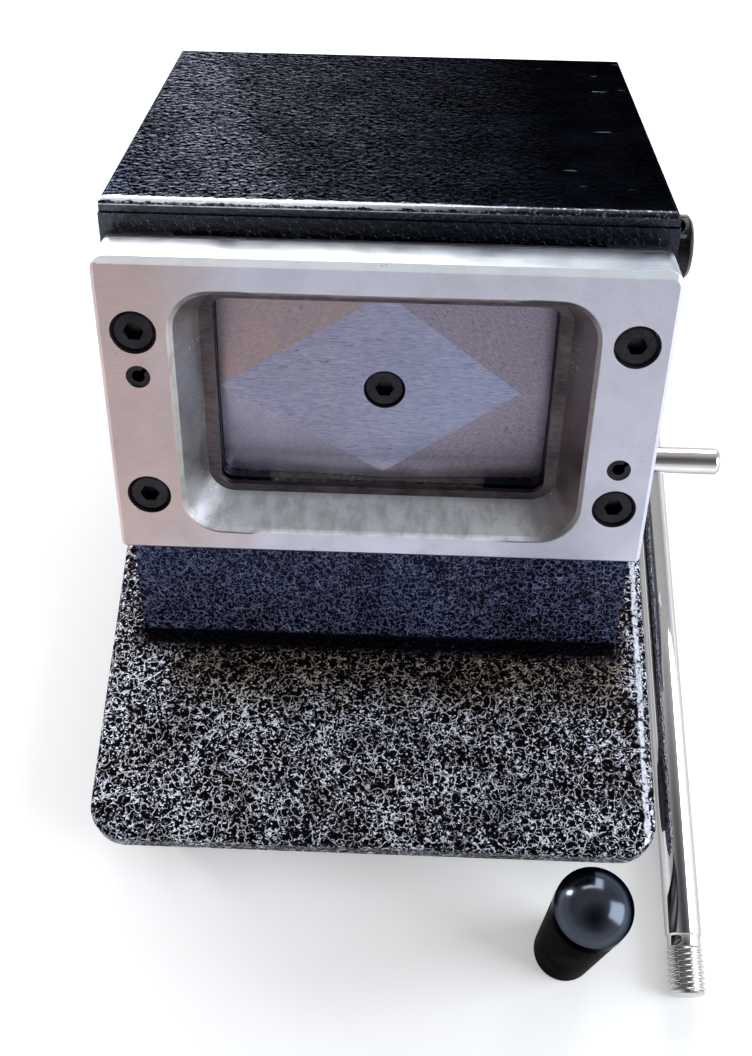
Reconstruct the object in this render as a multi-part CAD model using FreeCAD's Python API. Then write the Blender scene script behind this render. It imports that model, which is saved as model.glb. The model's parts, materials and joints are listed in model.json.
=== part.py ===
import FreeCAD, Part
import math
import os

from FreeCAD import Vector, Rotation, Placement

# Card cutter with a slanted die. Lengths are in millimetres, angles in degrees.
# Row frame: origin at the centre of the base plate's underside, X right, Y back, Z up.
# Leaning frame of the body: x right, y into the body from the die's front face, z up the face,
# with its origin on the punch axis.

# Card and cut
cardWidth = 85.6
cardHeight = 54.0
cardCorner = 3.2
cutClearance = 0.05
lean = 27.0

# Base plate
baseMargin = 9.3
baseDepth = 250.0
baseThick = 8.0
baseCorner = 10.0
baseEdgeRound = 2.5
punchAxisHeight = 81.1
punchAxisFromFront = 84.7

# Feet
footRadius = 13.0
footTaper = 2.0
footHeight = 16.0
footInset = 20.0
footRecessDepth = 9.0
footRecessRadius = 6.0
footEdgeRound = 1.0

# Die block
blockInset = 0.5
blockAboveCard = 15.2
blockBelowCard = 13.5
blockThick = 12.3
blockTopCorner = 3.6
blockBottomCorner = 1.5
blockTopChamfer = 1.5
blockEdgeChamfer = 1.0
pocketFrontSide = 8.1
pocketFrontEnd = 6.6
pocketBackSide = 3.3
pocketBackEnd = 2.2
pocketFrontCorner = 10.0
pocketBackCorner = 7.0
pocketChamfer = 1.0

# Die plate, spacer and stop bar
dieThick = 1.8
spacerThick = 1.8
slotSide = 9.2
spacerSill = 7.0
stopBarLeftInset = 12.8
stopBarRightInset = 15.8
stopBarDrop = 1.2
stopBarSlack = 0.1

# Body shell
frontThick = 14.0
rearThick = 3.0
rearSetback = 136.1
coverRise = 7.8
coverThick = 3.5
coverInset = 0.2
coverSetback = 0.7
coverRound = 1.6
coverFlange = 16.0
seamGap = 0.1

# Punch
punchFace = 17.5
punchLength = 32.5
diamondLeftShare = 1.0
diamondRightShare = 0.82
diamondTopShare = 1.0
diamondBottomShare = 0.93
facetDrop = 2.2

# Punch holder and drive yoke
holderEdge = 1.5
holderSideGap = 0.7
holderInset = 2.0
holderThick = 14.0
holderRound = 3.0
yokeHalfWidth = 20.0
yokeWall = 7.0
yokeRearWall = 6.0
yokeSlack = 0.3
yokeHeadroom = 1.3

# Lever shaft and eccentric
shaftRadius = 10.0
shaftSetback = 106.0
shaftHeight = 4.0
shaftOverhang = 22.4
shaftLeftStub = 3.0
shaftChamfer = 1.2
strokeLength = 8.0
leverSwing = 84.0
camRadius = 18.0
camHalfWidth = 18.0
keyWidth = 5.0
keyLength = 30.0
spacerTubeRadius = 13.0
spacerTubeBore = 10.2
bushWall = 3.0
bushFlange = 6.0
bushFlangeThick = 2.0
circlipThick = 1.2
circlipRadius = 12.0
circlipSeat = 9.0
circlipGapAngle = 60.0

# Guide pillars and springs
pillarRadius = 5.0
pillarGap = 1.2
pillarSeat = 10.0
pillarShaftGap = 7.0
holderBushWall = 3.0
holderBushLength = 22.0
springWire = 1.8
springBoreGap = 0.8
springTurns = 4.5
springSlack = 0.2

# Stop pin, a shouldered stud with a nut inside the right wall
stopPinRadius = 3.7
stopPinDepth = 35.0
stopPinHeight = -29.6
stopPinOverhang = 24.8
stopPinChamfer = 1.0
stopNutRadius = 5.8
stopNutHeight = 5.0
stopTail = 6.5

# Lever rod and its threads
rodRadius = 5.0
rodLength = 230.0
rodAside = 18.5
rodFrontFromAxis = 117.2
rodYaw = 0.4
threadPitch = 1.5
threadLength = 12.0
threadDepth = 0.6
threadNeck = 3.0
threadNeckRadius = 4.6
rodChamfer = 0.6

# Grip, standing on its narrow end
gripInset = 14.4
gripFromAxis = 105.7
gripFootRadius = 8.4
gripBodyRadius = 9.6
gripBodyHeight = 53.0
gripFootChamfer = 0.8
gripShoulder = 0.6
gripShoulderInset = 0.9
gripCapHeight = 12.5
gripCapRadius = 9.7
gripCapSkirt = 6.0
gripCapSpigotRadius = 6.0
gripCapSpigot = 5.0
insertRadius = 7.0
insertLength = 18.0
gripHoleDepth = 30.0

# Screws: radius, head radius, head height
m4 = 2.0
m5 = 2.5
m6 = 3.0
m6Head = 5.0
m6HeadHeight = 6.0
m4Head = 3.9
m4HeadHeight = 2.2
m5Head = 4.75
m5HeadHeight = 3.0
hexAcrossShare = 0.5
hexDepthShare = 0.5
boreSlack = 0.03
runningSlack = 0.03
freeHole = 0.3
headSlack = 0.65
headSunk = 0.7
countersinkEdge = 0.4

# Screw places
dieScrewShare = 0.505
dieScrewInset = 3.8
dieScrewLength = 19.0
pinShare = 0.495
pinFromScrew = 11.9
pinRadius = 3.0
pinBore = 1.6
pinSlot = 1.1
pinLength = 26.0
pinSunk = 0.4
punchScrewHead = 5.0
punchCounterbore = 0.4
dowelInset = 14.8
dowelLength = 16.0
yokeScrewX = 12.0
yokeScrewTop = 16.0
yokeScrewBottom = -10.0
yokeScrewLength = 18.0
frameScrewTopInset = 6.2
frameScrewBottomInset = 3.5
frameScrewLength = 26.0
wallScrewEdge = 0.5
wallScrewCover = 0.6
rearScrewTopInset = 22.5
rearScrewBottom = -6.0
rearScrewLength = 16.0
coverScrewInset = 24.2
coverScrewDrop = 8.0
coverScrewLength = 5.5
coverDowelInset = 24.2
coverDowelLength = 10.0
coverDowelBite = 2.2
baseScrewLength = 19.0
baseScrewFrontInset = 24.2
baseScrewNearShare = 0.36
baseScrewFarShare = 0.86
footScrewBite = 6.0
setScrewLength = 6.0
overrun = 1.0

# Widths, worked out from the card outwards: guide bushes, holder, side walls, cover and base
cardHalfWidth = cardWidth / 2
cardHalfHeight = cardHeight / 2
holderBushRadius = pillarRadius + holderBushWall
springMean = pillarRadius + springBoreGap + springWire / 2
pillarX = cardHalfWidth + pillarGap + holderBushRadius
holderHalfWidth = pillarX + holderBushRadius + holderEdge
sideInner = holderHalfWidth + holderSideGap
sideThick = m4Head + wallScrewEdge + m4 + wallScrewCover
bodyHalf = sideInner + sideThick
coverHalf = bodyHalf - coverInset
baseWidth = 2 * (bodyHalf + baseMargin)
blockHalf = bodyHalf - blockInset
shaftRight = bodyHalf + shaftOverhang
stopPinTip = bodyHalf + stopPinOverhang
rodX = bodyHalf + rodAside
gripX = bodyHalf - gripInset

# Heights in the leaning frame, worked out from the card
blockTop = cardHalfHeight + blockAboveCard
blockBottom = -cardHalfHeight - blockBelowCard
coverTop = blockTop + coverRise
holderHalfHeight = cardHalfHeight - holderInset

# Die block, slot and stop bar
pocketFrontHalfWidth = cardHalfWidth + pocketFrontSide
pocketFrontHalfHeight = cardHalfHeight + pocketFrontEnd
pocketBackHalfWidth = cardHalfWidth + pocketBackSide
pocketBackHalfHeight = cardHalfHeight + pocketBackEnd
blockSideWall = blockHalf - pocketFrontHalfWidth
dieScrewX = pocketFrontHalfWidth + blockSideWall * dieScrewShare
dieScrewZ = cardHalfHeight - dieScrewInset
pinX = pocketFrontHalfWidth + blockSideWall * pinShare
pinZ = dieScrewZ - pinFromScrew
slotHalfWidth = cardHalfWidth + slotSide
stopBarLeft = cardHalfWidth - stopBarLeftInset
stopBarRight = cardHalfWidth - stopBarRightInset
stopBarTop = -cardHalfHeight - stopBarDrop

# Other sizes worked out from the ones above
dieBack = blockThick + dieThick
stackBack = dieBack + spacerThick
frontBack = stackBack + frontThick
coverUnder = coverTop - coverThick
coverFront = stackBack + coverSetback
rearBack = rearSetback + rearThick
coverBack = rearBack + coverThick
punchHalfWidth = cardHalfWidth - cutClearance
punchHalfHeight = cardHalfHeight - cutClearance
dowelX = cardHalfWidth - dowelInset
pillarEnd = shaftSetback - spacerTubeRadius - pillarShaftGap
punchBack = punchFace + punchLength
holderBack = punchBack + holderThick
halfSwing = math.radians(leverSwing / 2)
eccentricity = strokeLength / (2 * math.sin(halfSwing))
camSetback = shaftSetback + eccentricity * math.sin(halfSwing)
camLift = shaftHeight + eccentricity * math.cos(halfSwing)
camMidLift = shaftHeight + eccentricity * (1 + math.cos(halfSwing)) / 2
windowHalfDepth = camRadius + yokeSlack
windowHalfHeight = camRadius + yokeHeadroom
yokeBack = camSetback + windowHalfDepth + yokeRearWall
bushRadius = shaftRadius + bushWall
stopReach = math.hypot(shaftSetback - stopPinDepth, shaftHeight - stopPinHeight)
stopAngle = math.atan2(stopPinHeight - shaftHeight, shaftSetback - stopPinDepth)
stopTouch = math.asin((rodRadius + stopPinRadius) / stopReach)
leverRestAngle = leverSwing + math.degrees(stopAngle + stopTouch)
axisY = punchAxisFromFront - baseDepth / 2
axisZ = baseThick + punchAxisHeight
floorZ = -footHeight
alongX = Vector(1, 0, 0)
alongY = Vector(0, 1, 0)
alongZ = Vector(0, 0, 1)
leanPlace = Placement(Vector(0, axisY, axisZ), Rotation(alongX, -lean))


# General shapes

def slab(x0, x1, y0, y1, z0, z1):
    return Part.makeBox(x1 - x0, y1 - y0, z1 - z0, Vector(x0, y0, z0))


def bar(radius, start, length, along):
    return Part.makeCylinder(radius, length, start, along)


def roundedOutline(left, right, bottom, top, lowCorner, highCorner, depth):
    # A closed outline in the die's plane, with its own radius for the lower and the upper corners
    def point(x, z):
        return Vector(x, depth, z)
    bend = 1 - math.sqrt(0.5)
    low = lowCorner * bend
    high = highCorner * bend
    edges = [
        Part.makeLine(point(left + lowCorner, bottom), point(right - lowCorner, bottom)),
        Part.Arc(point(right - lowCorner, bottom), point(right - low, bottom + low),
                 point(right, bottom + lowCorner)).toShape(),
        Part.makeLine(point(right, bottom + lowCorner), point(right, top - highCorner)),
        Part.Arc(point(right, top - highCorner), point(right - high, top - high),
                 point(right - highCorner, top)).toShape(),
        Part.makeLine(point(right - highCorner, top), point(left + highCorner, top)),
        Part.Arc(point(left + highCorner, top), point(left + high, top - high),
                 point(left, top - highCorner)).toShape(),
        Part.makeLine(point(left, top - highCorner), point(left, bottom + lowCorner)),
        Part.Arc(point(left, bottom + lowCorner), point(left + low, bottom + low),
                 point(left + lowCorner, bottom)).toShape(),
    ]
    return Part.Wire(edges)


def roundedPlate(left, right, bottom, top, lowCorner, highCorner, front, back):
    outline = roundedOutline(left, right, bottom, top, lowCorner, highCorner, front)
    return Part.Face(outline).extrude(Vector(0, back - front, 0))


def hexSocket(radius, depth, start, along):
    # The six-sided key hole of a socket screw, cut from its head's top face
    points = []
    for corner in range(7):
        turn = math.radians(60 * corner)
        points.append(Vector(radius * math.cos(turn), radius * math.sin(turn), 0))
    prism = Part.Face(Part.makePolygon(points)).extrude(Vector(0, 0, depth + overrun))
    prism.translate(Vector(0, 0, -overrun))
    prism.Placement = Placement(start, Rotation(alongZ, along)).multiply(prism.Placement)
    return prism


def socketScrew(radius, length, headRadius, headHeight, start, along):
    # A cap screw: start is the centre of the head's top face, along points down the shank
    head = bar(headRadius, start, headHeight, along)
    rims = [edge for edge in head.Edges
            if edge.isClosed() and (edge.BoundBox.Center - start).Length < headHeight / 2]
    head = head.makeChamfer(countersinkEdge, rims)
    shank = bar(radius, start + along * headHeight, length, along)
    socket = hexSocket(headRadius * hexAcrossShare, headHeight * hexDepthShare, start, along)
    return head.fuse(shank).cut(socket).removeSplitter()


def sunkScrew(radius, length, headRadius, headHeight, start, along):
    # A countersunk screw, its flat face at start
    cone = Part.makeCone(headRadius, radius, headHeight, start, along)
    shank = bar(radius, start + along * headHeight, length - headHeight, along)
    socket = hexSocket(radius * hexAcrossShare, headHeight * hexDepthShare, start, along)
    return cone.fuse(shank).cut(socket).removeSplitter()


def sunkHole(radius, length, headRadius, headHeight, start, along):
    cone = Part.makeCone(headRadius + boreSlack, radius + boreSlack, headHeight, start, along)
    return cone.fuse(bar(radius + boreSlack, start, length + overrun, along))


def leaned(shape):
    out = shape.copy()
    out.Placement = leanPlace.multiply(out.Placement)
    return out


def leanedPoint(x, y, z):
    return leanPlace.multVec(Vector(x, y, z))


def baseLineZ(depth, height=0):
    # Where a plane at that depth in the leaning frame is that far above the base plate's top
    rise = height + depth * math.sin(math.radians(lean)) - punchAxisHeight
    return rise / math.cos(math.radians(lean))


def aboveBase(shape):
    # What a leaning piece keeps once it is trimmed to stand on the base plate
    low = slab(-baseWidth, baseWidth, -baseDepth, baseDepth, baseThick - baseDepth, baseThick)
    return leaned(shape).cut(low)


def group(shapes):
    return Part.makeCompound(shapes)


# Places of the repeated fasteners
dieScrews = [Vector(x, headSunk, z) for x in (-dieScrewX, dieScrewX) for z in (-dieScrewZ, dieScrewZ)]
springPins = [Vector(-pinX, pinSunk, pinZ), Vector(pinX, pinSunk, -pinZ)]
sideMid = bodyHalf - sideThick / 2
wallScrewX = bodyHalf - m4Head - wallScrewEdge
frameScrews = [Vector(x, stackBack, z) for x in (-wallScrewX, wallScrewX)
               for z in (blockBottom + frameScrewBottomInset, blockTop - frameScrewTopInset)]
rearScrews = [Vector(x, rearBack, z) for x in (-wallScrewX, wallScrewX)
              for z in (rearScrewBottom, coverUnder - rearScrewTopInset)]
coverScrewZ = coverUnder - coverScrewDrop
coverScrewX = bodyHalf - coverScrewInset
coverDowelX = bodyHalf - coverDowelInset
coverScrews = [Vector(x, coverBack, coverScrewZ) for x in (-coverScrewX, coverScrewX)]
coverDowels = [Vector(x, stackBack + frontThick / 2, coverUnder + coverDowelBite - coverDowelLength)
               for x in (-coverDowelX, coverDowelX)]
yokeScrews = [Vector(x, punchBack, z) for x in (-yokeScrewX, yokeScrewX)
              for z in (yokeScrewBottom, yokeScrewTop)]
feet = [Vector(x, y, 0) for x in (footInset - baseWidth / 2, baseWidth / 2 - footInset)
        for y in (footInset - baseDepth / 2, baseDepth / 2 - footInset)]


def baseScrewPlaces():
    # Two screws rise into the front panel, and two into each side panel
    middle = stackBack + frontThick / 2
    front = leanedPoint(0, middle, baseLineZ(middle, (baseScrewLength - baseThick) / 2)).y
    nearDepth = frontBack + (rearSetback - frontBack) * baseScrewNearShare
    farDepth = frontBack + (rearSetback - frontBack) * baseScrewFarShare
    frontX = bodyHalf - baseScrewFrontInset
    places = [Vector(x, front, 0) for x in (-frontX, frontX)]
    for depth in (nearDepth, farDepth):
        y = leanedPoint(0, depth, baseLineZ(depth)).y
        places += [Vector(-sideMid, y, 0), Vector(sideMid, y, 0)]
    return places


baseScrews = baseScrewPlaces()


def baseScrewHoles():
    return group([sunkHole(m4, baseScrewLength, m4Head, m4HeadHeight, place, alongZ)
                  for place in baseScrews])


# Base and feet

def basePlate():
    half = baseWidth / 2
    plate = slab(-half, half, -baseDepth / 2, baseDepth / 2, 0, baseThick)
    corners = [edge for edge in plate.Edges if abs(edge.BoundBox.ZLength - baseThick) < cutClearance]
    plate = plate.makeFillet(baseCorner, corners)
    rim = [edge for edge in plate.Edges if edge.BoundBox.ZMin > baseThick - cutClearance]
    plate = plate.makeFillet(baseEdgeRound, rim)
    screwHoles = [bar(m5 + boreSlack, place, footScrewBite + boreSlack, alongZ) for place in feet]
    return plate.cut(group(screwHoles)).cut(baseScrewHoles())


def rubberFeet():
    out = []
    for place in feet:
        bottom = place - alongZ * footHeight
        foot = Part.makeCone(footRadius - footTaper, footRadius, footHeight, bottom, alongZ)
        edges = [edge for edge in foot.Edges if edge.BoundBox.ZMax < floorZ + cutClearance]
        foot = foot.makeFillet(footEdgeRound, edges)
        foot = foot.cut(bar(footRecessRadius, bottom, footRecessDepth, alongZ))
        out.append(foot.cut(bar(m5 + freeHole, bottom, footHeight, alongZ)))
    return group(out)


def footScrews():
    out = []
    for place in feet:
        top = place - alongZ * (footHeight - footRecessDepth + m5HeadHeight)
        length = footHeight - footRecessDepth + footScrewBite
        out.append(socketScrew(m5, length, m5Head, m5HeadHeight, top, alongZ))
    return group(out)


# Die stack

def dieStackHoles():
    # The clearance holes that every layer in front of the body shares
    shanks = [bar(m6 + freeHole, place, frontBack, alongY) for place in dieScrews]
    pins = [bar(pinRadius + boreSlack, place - alongY * overrun, pinLength + overrun + pinSunk, alongY)
            for place in springPins]
    return group(shanks + pins)


def dieBlock():
    block = roundedPlate(-blockHalf, blockHalf, blockBottom, blockTop,
                         blockBottomCorner, blockTopCorner, 0, blockThick)
    rim = [edge for edge in block.Edges if edge.BoundBox.YMax < cutClearance]
    topEdge = [edge for edge in rim if edge.BoundBox.ZMin > blockTop - cutClearance]
    block = block.makeChamfer(blockEdgeChamfer, [edge for edge in rim if edge not in topEdge])
    # The top front edge carries a wider bevel
    bevel = Part.Face(Part.makePolygon([
        Vector(0, -overrun, blockTop + overrun),
        Vector(0, -overrun, blockTop - blockTopChamfer - overrun),
        Vector(0, blockTopChamfer + overrun, blockTop + overrun),
        Vector(0, -overrun, blockTop + overrun)]))
    bevel = bevel.extrude(Vector(2 * (blockHalf + overrun), 0, 0))
    bevel.translate(Vector(-blockHalf - overrun, 0, 0))
    block = block.cut(bevel)
    # The card pocket narrows towards the die
    slope = (pocketFrontHalfWidth - pocketBackHalfWidth) / blockThick
    rise = (pocketFrontHalfHeight - pocketBackHalfHeight) / blockThick
    wires = []
    for depth in (-overrun, blockThick + overrun):
        halfX = pocketFrontHalfWidth - slope * depth
        halfZ = pocketFrontHalfHeight - rise * depth
        corner = pocketFrontCorner + (pocketBackCorner - pocketFrontCorner) * depth / blockThick
        wires.append(roundedOutline(-halfX, halfX, -halfZ, halfZ, corner, corner, depth))
    block = block.cut(Part.makeLoft(wires, True, True))
    reachX = pocketFrontHalfWidth + pocketChamfer
    reachZ = pocketFrontHalfHeight + pocketChamfer
    edges = []
    for edge in block.Edges:
        box = edge.BoundBox
        inside = max(box.XMax, -box.XMin) < reachX and max(box.ZMax, -box.ZMin) < reachZ
        if box.YMax < cutClearance and inside:
            edges.append(edge)
    block = block.makeChamfer(pocketChamfer, edges)
    for place in dieScrews:
        mouth = Vector(place.x, -overrun, place.z)
        depth = headSunk + m6HeadHeight + overrun
        block = block.cut(bar(m6Head + headSlack, mouth, depth, alongY))
    return block.cut(dieStackHoles())


def diePlate():
    half = blockHalf
    plate = roundedPlate(-half, half, blockBottom, blockTop, blockBottomCorner, blockTopCorner,
                         blockThick, dieBack)
    opening = roundedPlate(-cardHalfWidth, cardHalfWidth, -cardHalfHeight, cardHalfHeight,
                           cardCorner, cardCorner, blockThick - overrun, dieBack + overrun)
    return plate.cut(opening).cut(dieStackHoles())


def slotSpacer():
    half = blockHalf
    plate = roundedPlate(-half, half, blockBottom, blockTop, blockBottomCorner, blockTopCorner,
                         dieBack, stackBack)
    slot = slab(-slotHalfWidth, slotHalfWidth, dieBack - overrun, stackBack + overrun,
                blockBottom + spacerSill, blockTop + overrun)
    return plate.cut(slot).cut(dieStackHoles())


def sheetStopBar():
    return slab(-stopBarLeft, stopBarRight, dieBack + stopBarSlack, stackBack - stopBarSlack,
                blockBottom + spacerSill, stopBarTop)


def dieScrewSet():
    length = dieScrewLength
    return group([socketScrew(m6, length, m6Head, m6HeadHeight, place, alongY) for place in dieScrews])


def springPinSet():
    # Rolled pins: a tube with a slit down its upper right side
    out = []
    for place in springPins:
        pin = bar(pinRadius, place, pinLength, alongY).cut(bar(pinBore, place, pinLength, alongY))
        slit = slab(0, pinRadius + overrun, -overrun, pinLength + overrun, -pinSlot / 2, pinSlot / 2)
        slit.Placement = Placement(place, Rotation(alongY, -45))
        out.append(pin.cut(slit))
    return group(out)


# Body shell

def frontPanel():
    panel = slab(-bodyHalf, bodyHalf, stackBack, frontBack, baseLineZ(0) - baseThick, coverUnder)
    opening = roundedPlate(-cardHalfWidth, cardHalfWidth, -cardHalfHeight, cardHalfHeight,
                           cardCorner, cardCorner, stackBack - overrun, frontBack + overrun)
    panel = panel.cut(opening)
    cuts = [bar(m6 + boreSlack, Vector(p.x, stackBack - overrun, p.z), frontThick, alongY)
            for p in dieScrews]
    cuts += [bar(pinRadius + boreSlack, p, pinLength + pinSunk, alongY) for p in springPins]
    cuts += [sunkHole(m4, frontThick, m4Head, m4HeadHeight, p, alongY) for p in frameScrews]
    cuts += [bar(pillarRadius + boreSlack, Vector(x, frontBack - pillarSeat, 0), pillarSeat + overrun, alongY)
             for x in (-pillarX, pillarX)]
    cuts += [bar(m5 + boreSlack, p, coverDowelLength + overrun, alongZ) for p in coverDowels]
    return aboveBase(panel.cut(group(cuts))).cut(baseScrewHoles())


def sidePanel(side):
    inner = side * sideInner
    outer = side * bodyHalf
    panel = slab(min(inner, outer), max(inner, outer), frontBack, rearSetback,
                 baseLineZ(0) - baseThick, coverUnder)
    mouth = Vector(min(inner, outer) - overrun, shaftSetback, shaftHeight)
    cuts = [bar(bushRadius + boreSlack, mouth, sideThick + 2 * overrun, alongX)]
    cuts += [bar(m4 + boreSlack, p, frameScrewLength + overrun, alongY) for p in frameScrews]
    cuts += [bar(m4 + boreSlack, p, rearScrewLength + overrun, -alongY) for p in rearScrews]
    if side > 0:
        seat = Vector(sideInner - overrun, stopPinDepth, stopPinHeight)
        cuts.append(bar(m6 + boreSlack, seat, sideThick + 2 * overrun, alongX))
    return aboveBase(panel.cut(group(cuts))).cut(baseScrewHoles())


def rearPanel():
    panel = slab(-bodyHalf, bodyHalf, rearSetback, rearBack, baseLineZ(0) - baseThick, coverUnder)
    cuts = [sunkHole(m4, rearThick, m4Head, m4HeadHeight, p, -alongY) for p in rearScrews]
    cuts += [bar(m4 + boreSlack, p, coverScrewLength + overrun, -alongY) for p in coverScrews]
    return aboveBase(panel.cut(group(cuts)))


def topCover():
    cover = slab(-coverHalf, coverHalf, coverFront, coverBack, coverUnder, coverTop)
    flange = slab(-coverHalf, coverHalf, rearBack, coverBack, coverUnder - coverFlange + coverThick, coverTop)
    cover = cover.fuse(flange).removeSplitter()
    rim = []
    for edge in cover.Edges:
        box = edge.BoundBox
        if box.ZMin > coverTop - cutClearance:
            rim.append(edge)
    cover = cover.makeFillet(coverRound, rim)
    cuts = [bar(m5 + boreSlack, p, coverDowelLength + boreSlack, alongZ) for p in coverDowels]
    cuts += [bar(m4 + freeHole, p + alongY * overrun, coverBack, -alongY) for p in coverScrews]
    return leaned(cover.cut(group(cuts)))


def coverScrewSet():
    out = []
    for place in coverScrews:
        top = place + alongY * m4HeadHeight
        out.append(socketScrew(m4, coverScrewLength, m4Head, m4HeadHeight, top, -alongY))
    return leaned(group(out))


def coverDowelSet():
    return leaned(group([bar(m5, p, coverDowelLength, alongZ) for p in coverDowels]))


def frameScrewSet():
    return leaned(group([sunkScrew(m4, frameScrewLength, m4Head, m4HeadHeight, p, alongY)
                         for p in frameScrews]))


def rearScrewSet():
    return leaned(group([sunkScrew(m4, rearScrewLength, m4Head, m4HeadHeight, p, -alongY)
                         for p in rearScrews]))


def baseScrewSet():
    return group([sunkScrew(m4, baseScrewLength, m4Head, m4HeadHeight, p, alongZ) for p in baseScrews])


def stopPin():
    start = Vector(bodyHalf, stopPinDepth, stopPinHeight)
    pin = bar(stopPinRadius, start, stopPinTip - bodyHalf, alongX)
    tip = [edge for edge in pin.Edges if edge.BoundBox.XMin > stopPinTip - cutClearance]
    pin = pin.makeChamfer(stopPinChamfer, tip)
    tailLength = sideThick + stopTail
    tail = bar(m6, start - alongX * tailLength, tailLength, alongX)
    return leaned(pin.fuse(tail))


def stopPinNut():
    start = Vector(sideInner, stopPinDepth, stopPinHeight)
    nut = hexSocket(stopNutRadius, stopNutHeight - overrun, start - alongX * overrun, -alongX)
    bore = bar(m6 + boreSlack, start, stopNutHeight + overrun, -alongX)
    return leaned(nut.cut(bore))


# Punch and its drive

def punchHoles():
    head = m6Head + punchCounterbore
    cuts = [bar(head, Vector(0, punchFace - overrun, 0), m6HeadHeight + overrun + headSunk, alongY)]
    cuts.append(bar(m6 + freeHole, Vector(0, punchFace, 0), punchLength + overrun, alongY))
    for x in (-dowelX, dowelX):
        start = Vector(x, punchBack - dowelLength / 2, 0)
        cuts.append(bar(m6 + boreSlack, start, dowelLength + boreSlack, alongY))
    return group(cuts)


def facetCut(first, second, corner):
    # The half space in front of a plane through two diamond points and a dropped corner
    normal = (second - first).cross(corner - first)
    normal.normalize()
    if normal.y > 0:
        normal = -normal
    reach = cardWidth * 2
    box = Part.makeBox(2 * reach, 2 * reach, reach, Vector(-reach, -reach, 0))
    box.Placement = Placement(first, Rotation(alongZ, normal))
    return box


def punch():
    body = roundedPlate(-punchHalfWidth, punchHalfWidth, -punchHalfHeight, punchHalfHeight,
                        cardCorner, cardCorner, punchFace, punchBack)
    left = Vector(-punchHalfWidth * diamondLeftShare, punchFace, 0)
    right = Vector(punchHalfWidth * diamondRightShare, punchFace, 0)
    top = Vector(0, punchFace, punchHalfHeight * diamondTopShare)
    bottom = Vector(0, punchFace, -punchHalfHeight * diamondBottomShare)
    for side, tip in ((-1, left), (1, right)):
        for up, peak in ((1, top), (-1, bottom)):
            corner = Vector(side * punchHalfWidth, punchFace + facetDrop, up * punchHalfHeight)
            body = body.cut(facetCut(tip, peak, corner))
    return leaned(body.cut(punchHoles()))


def punchScrew():
    top = Vector(0, punchFace + headSunk, 0)
    length = punchBack - punchFace + holderThick - m6HeadHeight - 2 * overrun
    return leaned(socketScrew(m6, length, punchScrewHead, m6HeadHeight, top, alongY))


def punchDowels():
    return leaned(group([bar(m6, Vector(x, punchBack - dowelLength / 2, 0), dowelLength, alongY)
                         for x in (-dowelX, dowelX)]))


def punchHolder():
    plate = roundedPlate(-holderHalfWidth, holderHalfWidth, -holderHalfHeight, holderHalfHeight,
                         holderRound, holderRound, punchBack, holderBack)
    cuts = [bar(m6 + boreSlack, Vector(0, punchBack, 0), holderThick + overrun, alongY)]
    for x in (-pillarX, pillarX):
        cuts.append(bar(holderBushRadius + boreSlack, Vector(x, punchBack - overrun, 0),
                        holderThick + 2 * overrun, alongY))
    cuts += [sunkHole(m6, holderThick, m6Head, m6Head - m6, p, alongY) for p in yokeScrews]
    return leaned(plate.cut(group(cuts)).cut(punchHoles()))


def holderBushes():
    out = []
    for x in (-pillarX, pillarX):
        start = Vector(x, punchBack, 0)
        bush = bar(holderBushRadius, start, holderBushLength, alongY)
        out.append(bush.cut(bar(pillarRadius + runningSlack, start, holderBushLength, alongY)))
    return leaned(group(out))


def driveYoke():
    # The block behind the holder, with a window that the eccentric turns in
    low = camMidLift - windowHalfHeight
    high = camMidLift + windowHalfHeight
    block = slab(-yokeHalfWidth, yokeHalfWidth, holderBack, yokeBack, low - yokeWall, high + yokeWall)
    length = yokeBack - holderBack
    ridges = [edge for edge in block.Edges if abs(edge.BoundBox.YLength - length) < cutClearance]
    block = block.makeChamfer(holderRound, ridges)
    window = slab(-yokeHalfWidth - overrun, yokeHalfWidth + overrun,
                  camSetback - windowHalfDepth, camSetback + windowHalfDepth, low, high)
    block = block.cut(window)
    holes = [bar(m6 + boreSlack, p, holderThick + yokeScrewLength, alongY) for p in yokeScrews]
    return leaned(block.cut(group(holes)))


def yokeScrewSet():
    length = holderThick + yokeScrewLength - overrun
    return leaned(group([sunkScrew(m6, length, m6Head, m6Head - m6, p, alongY) for p in yokeScrews]))


def guidePillars():
    length = pillarEnd - frontBack + pillarSeat
    out = []
    for x in (-pillarX, pillarX):
        pillar = bar(pillarRadius, Vector(x, frontBack - pillarSeat, 0), length, alongY)
        tip = [edge for edge in pillar.Edges if edge.BoundBox.YMin > pillarEnd - cutClearance]
        out.append(pillar.makeChamfer(stopPinChamfer, tip))
    return leaned(group(out))


def returnSprings():
    # Compression springs round the pillars, between the front panel and the punch holder
    out = []
    length = punchBack - frontBack - springWire - 2 * springSlack
    helix = Part.makeHelix(length / springTurns, length, springMean)
    section = Part.Wire(Part.makeCircle(springWire / 2, Vector(springMean, 0, 0), alongY))
    coil = Part.Wire(helix.Edges).makePipeShell([section], True, True)
    for x in (-pillarX, pillarX):
        spring = coil.copy()
        start = Vector(x, frontBack + springSlack + springWire / 2, 0)
        spring.Placement = Placement(start, Rotation(alongZ, alongY))
        out.append(spring)
    print("spring coil volume", coil.Volume, "least gap between turns", length / springTurns - springWire)
    return leaned(group(out))


# Lever shaft

def leverDirection():
    # Where the lever points at rest, in the leaning frame: forwards is -y, upwards is +z
    angle = math.radians(leverRestAngle)
    return Vector(0, -math.cos(angle), math.sin(angle))


def leverPlaneX():
    return (bodyHalf + stopPinTip) / 2 + m5


def shaftKeyCut(width, length, slack):
    # The key lies half in the shaft and half in the eccentric, on the side away from the throw
    low = shaftHeight - shaftRadius - width / 2
    return slab(-length / 2 - slack, length / 2 + slack, shaftSetback - width / 2 - slack,
                shaftSetback + width / 2 + slack, low, low + width)


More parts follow.
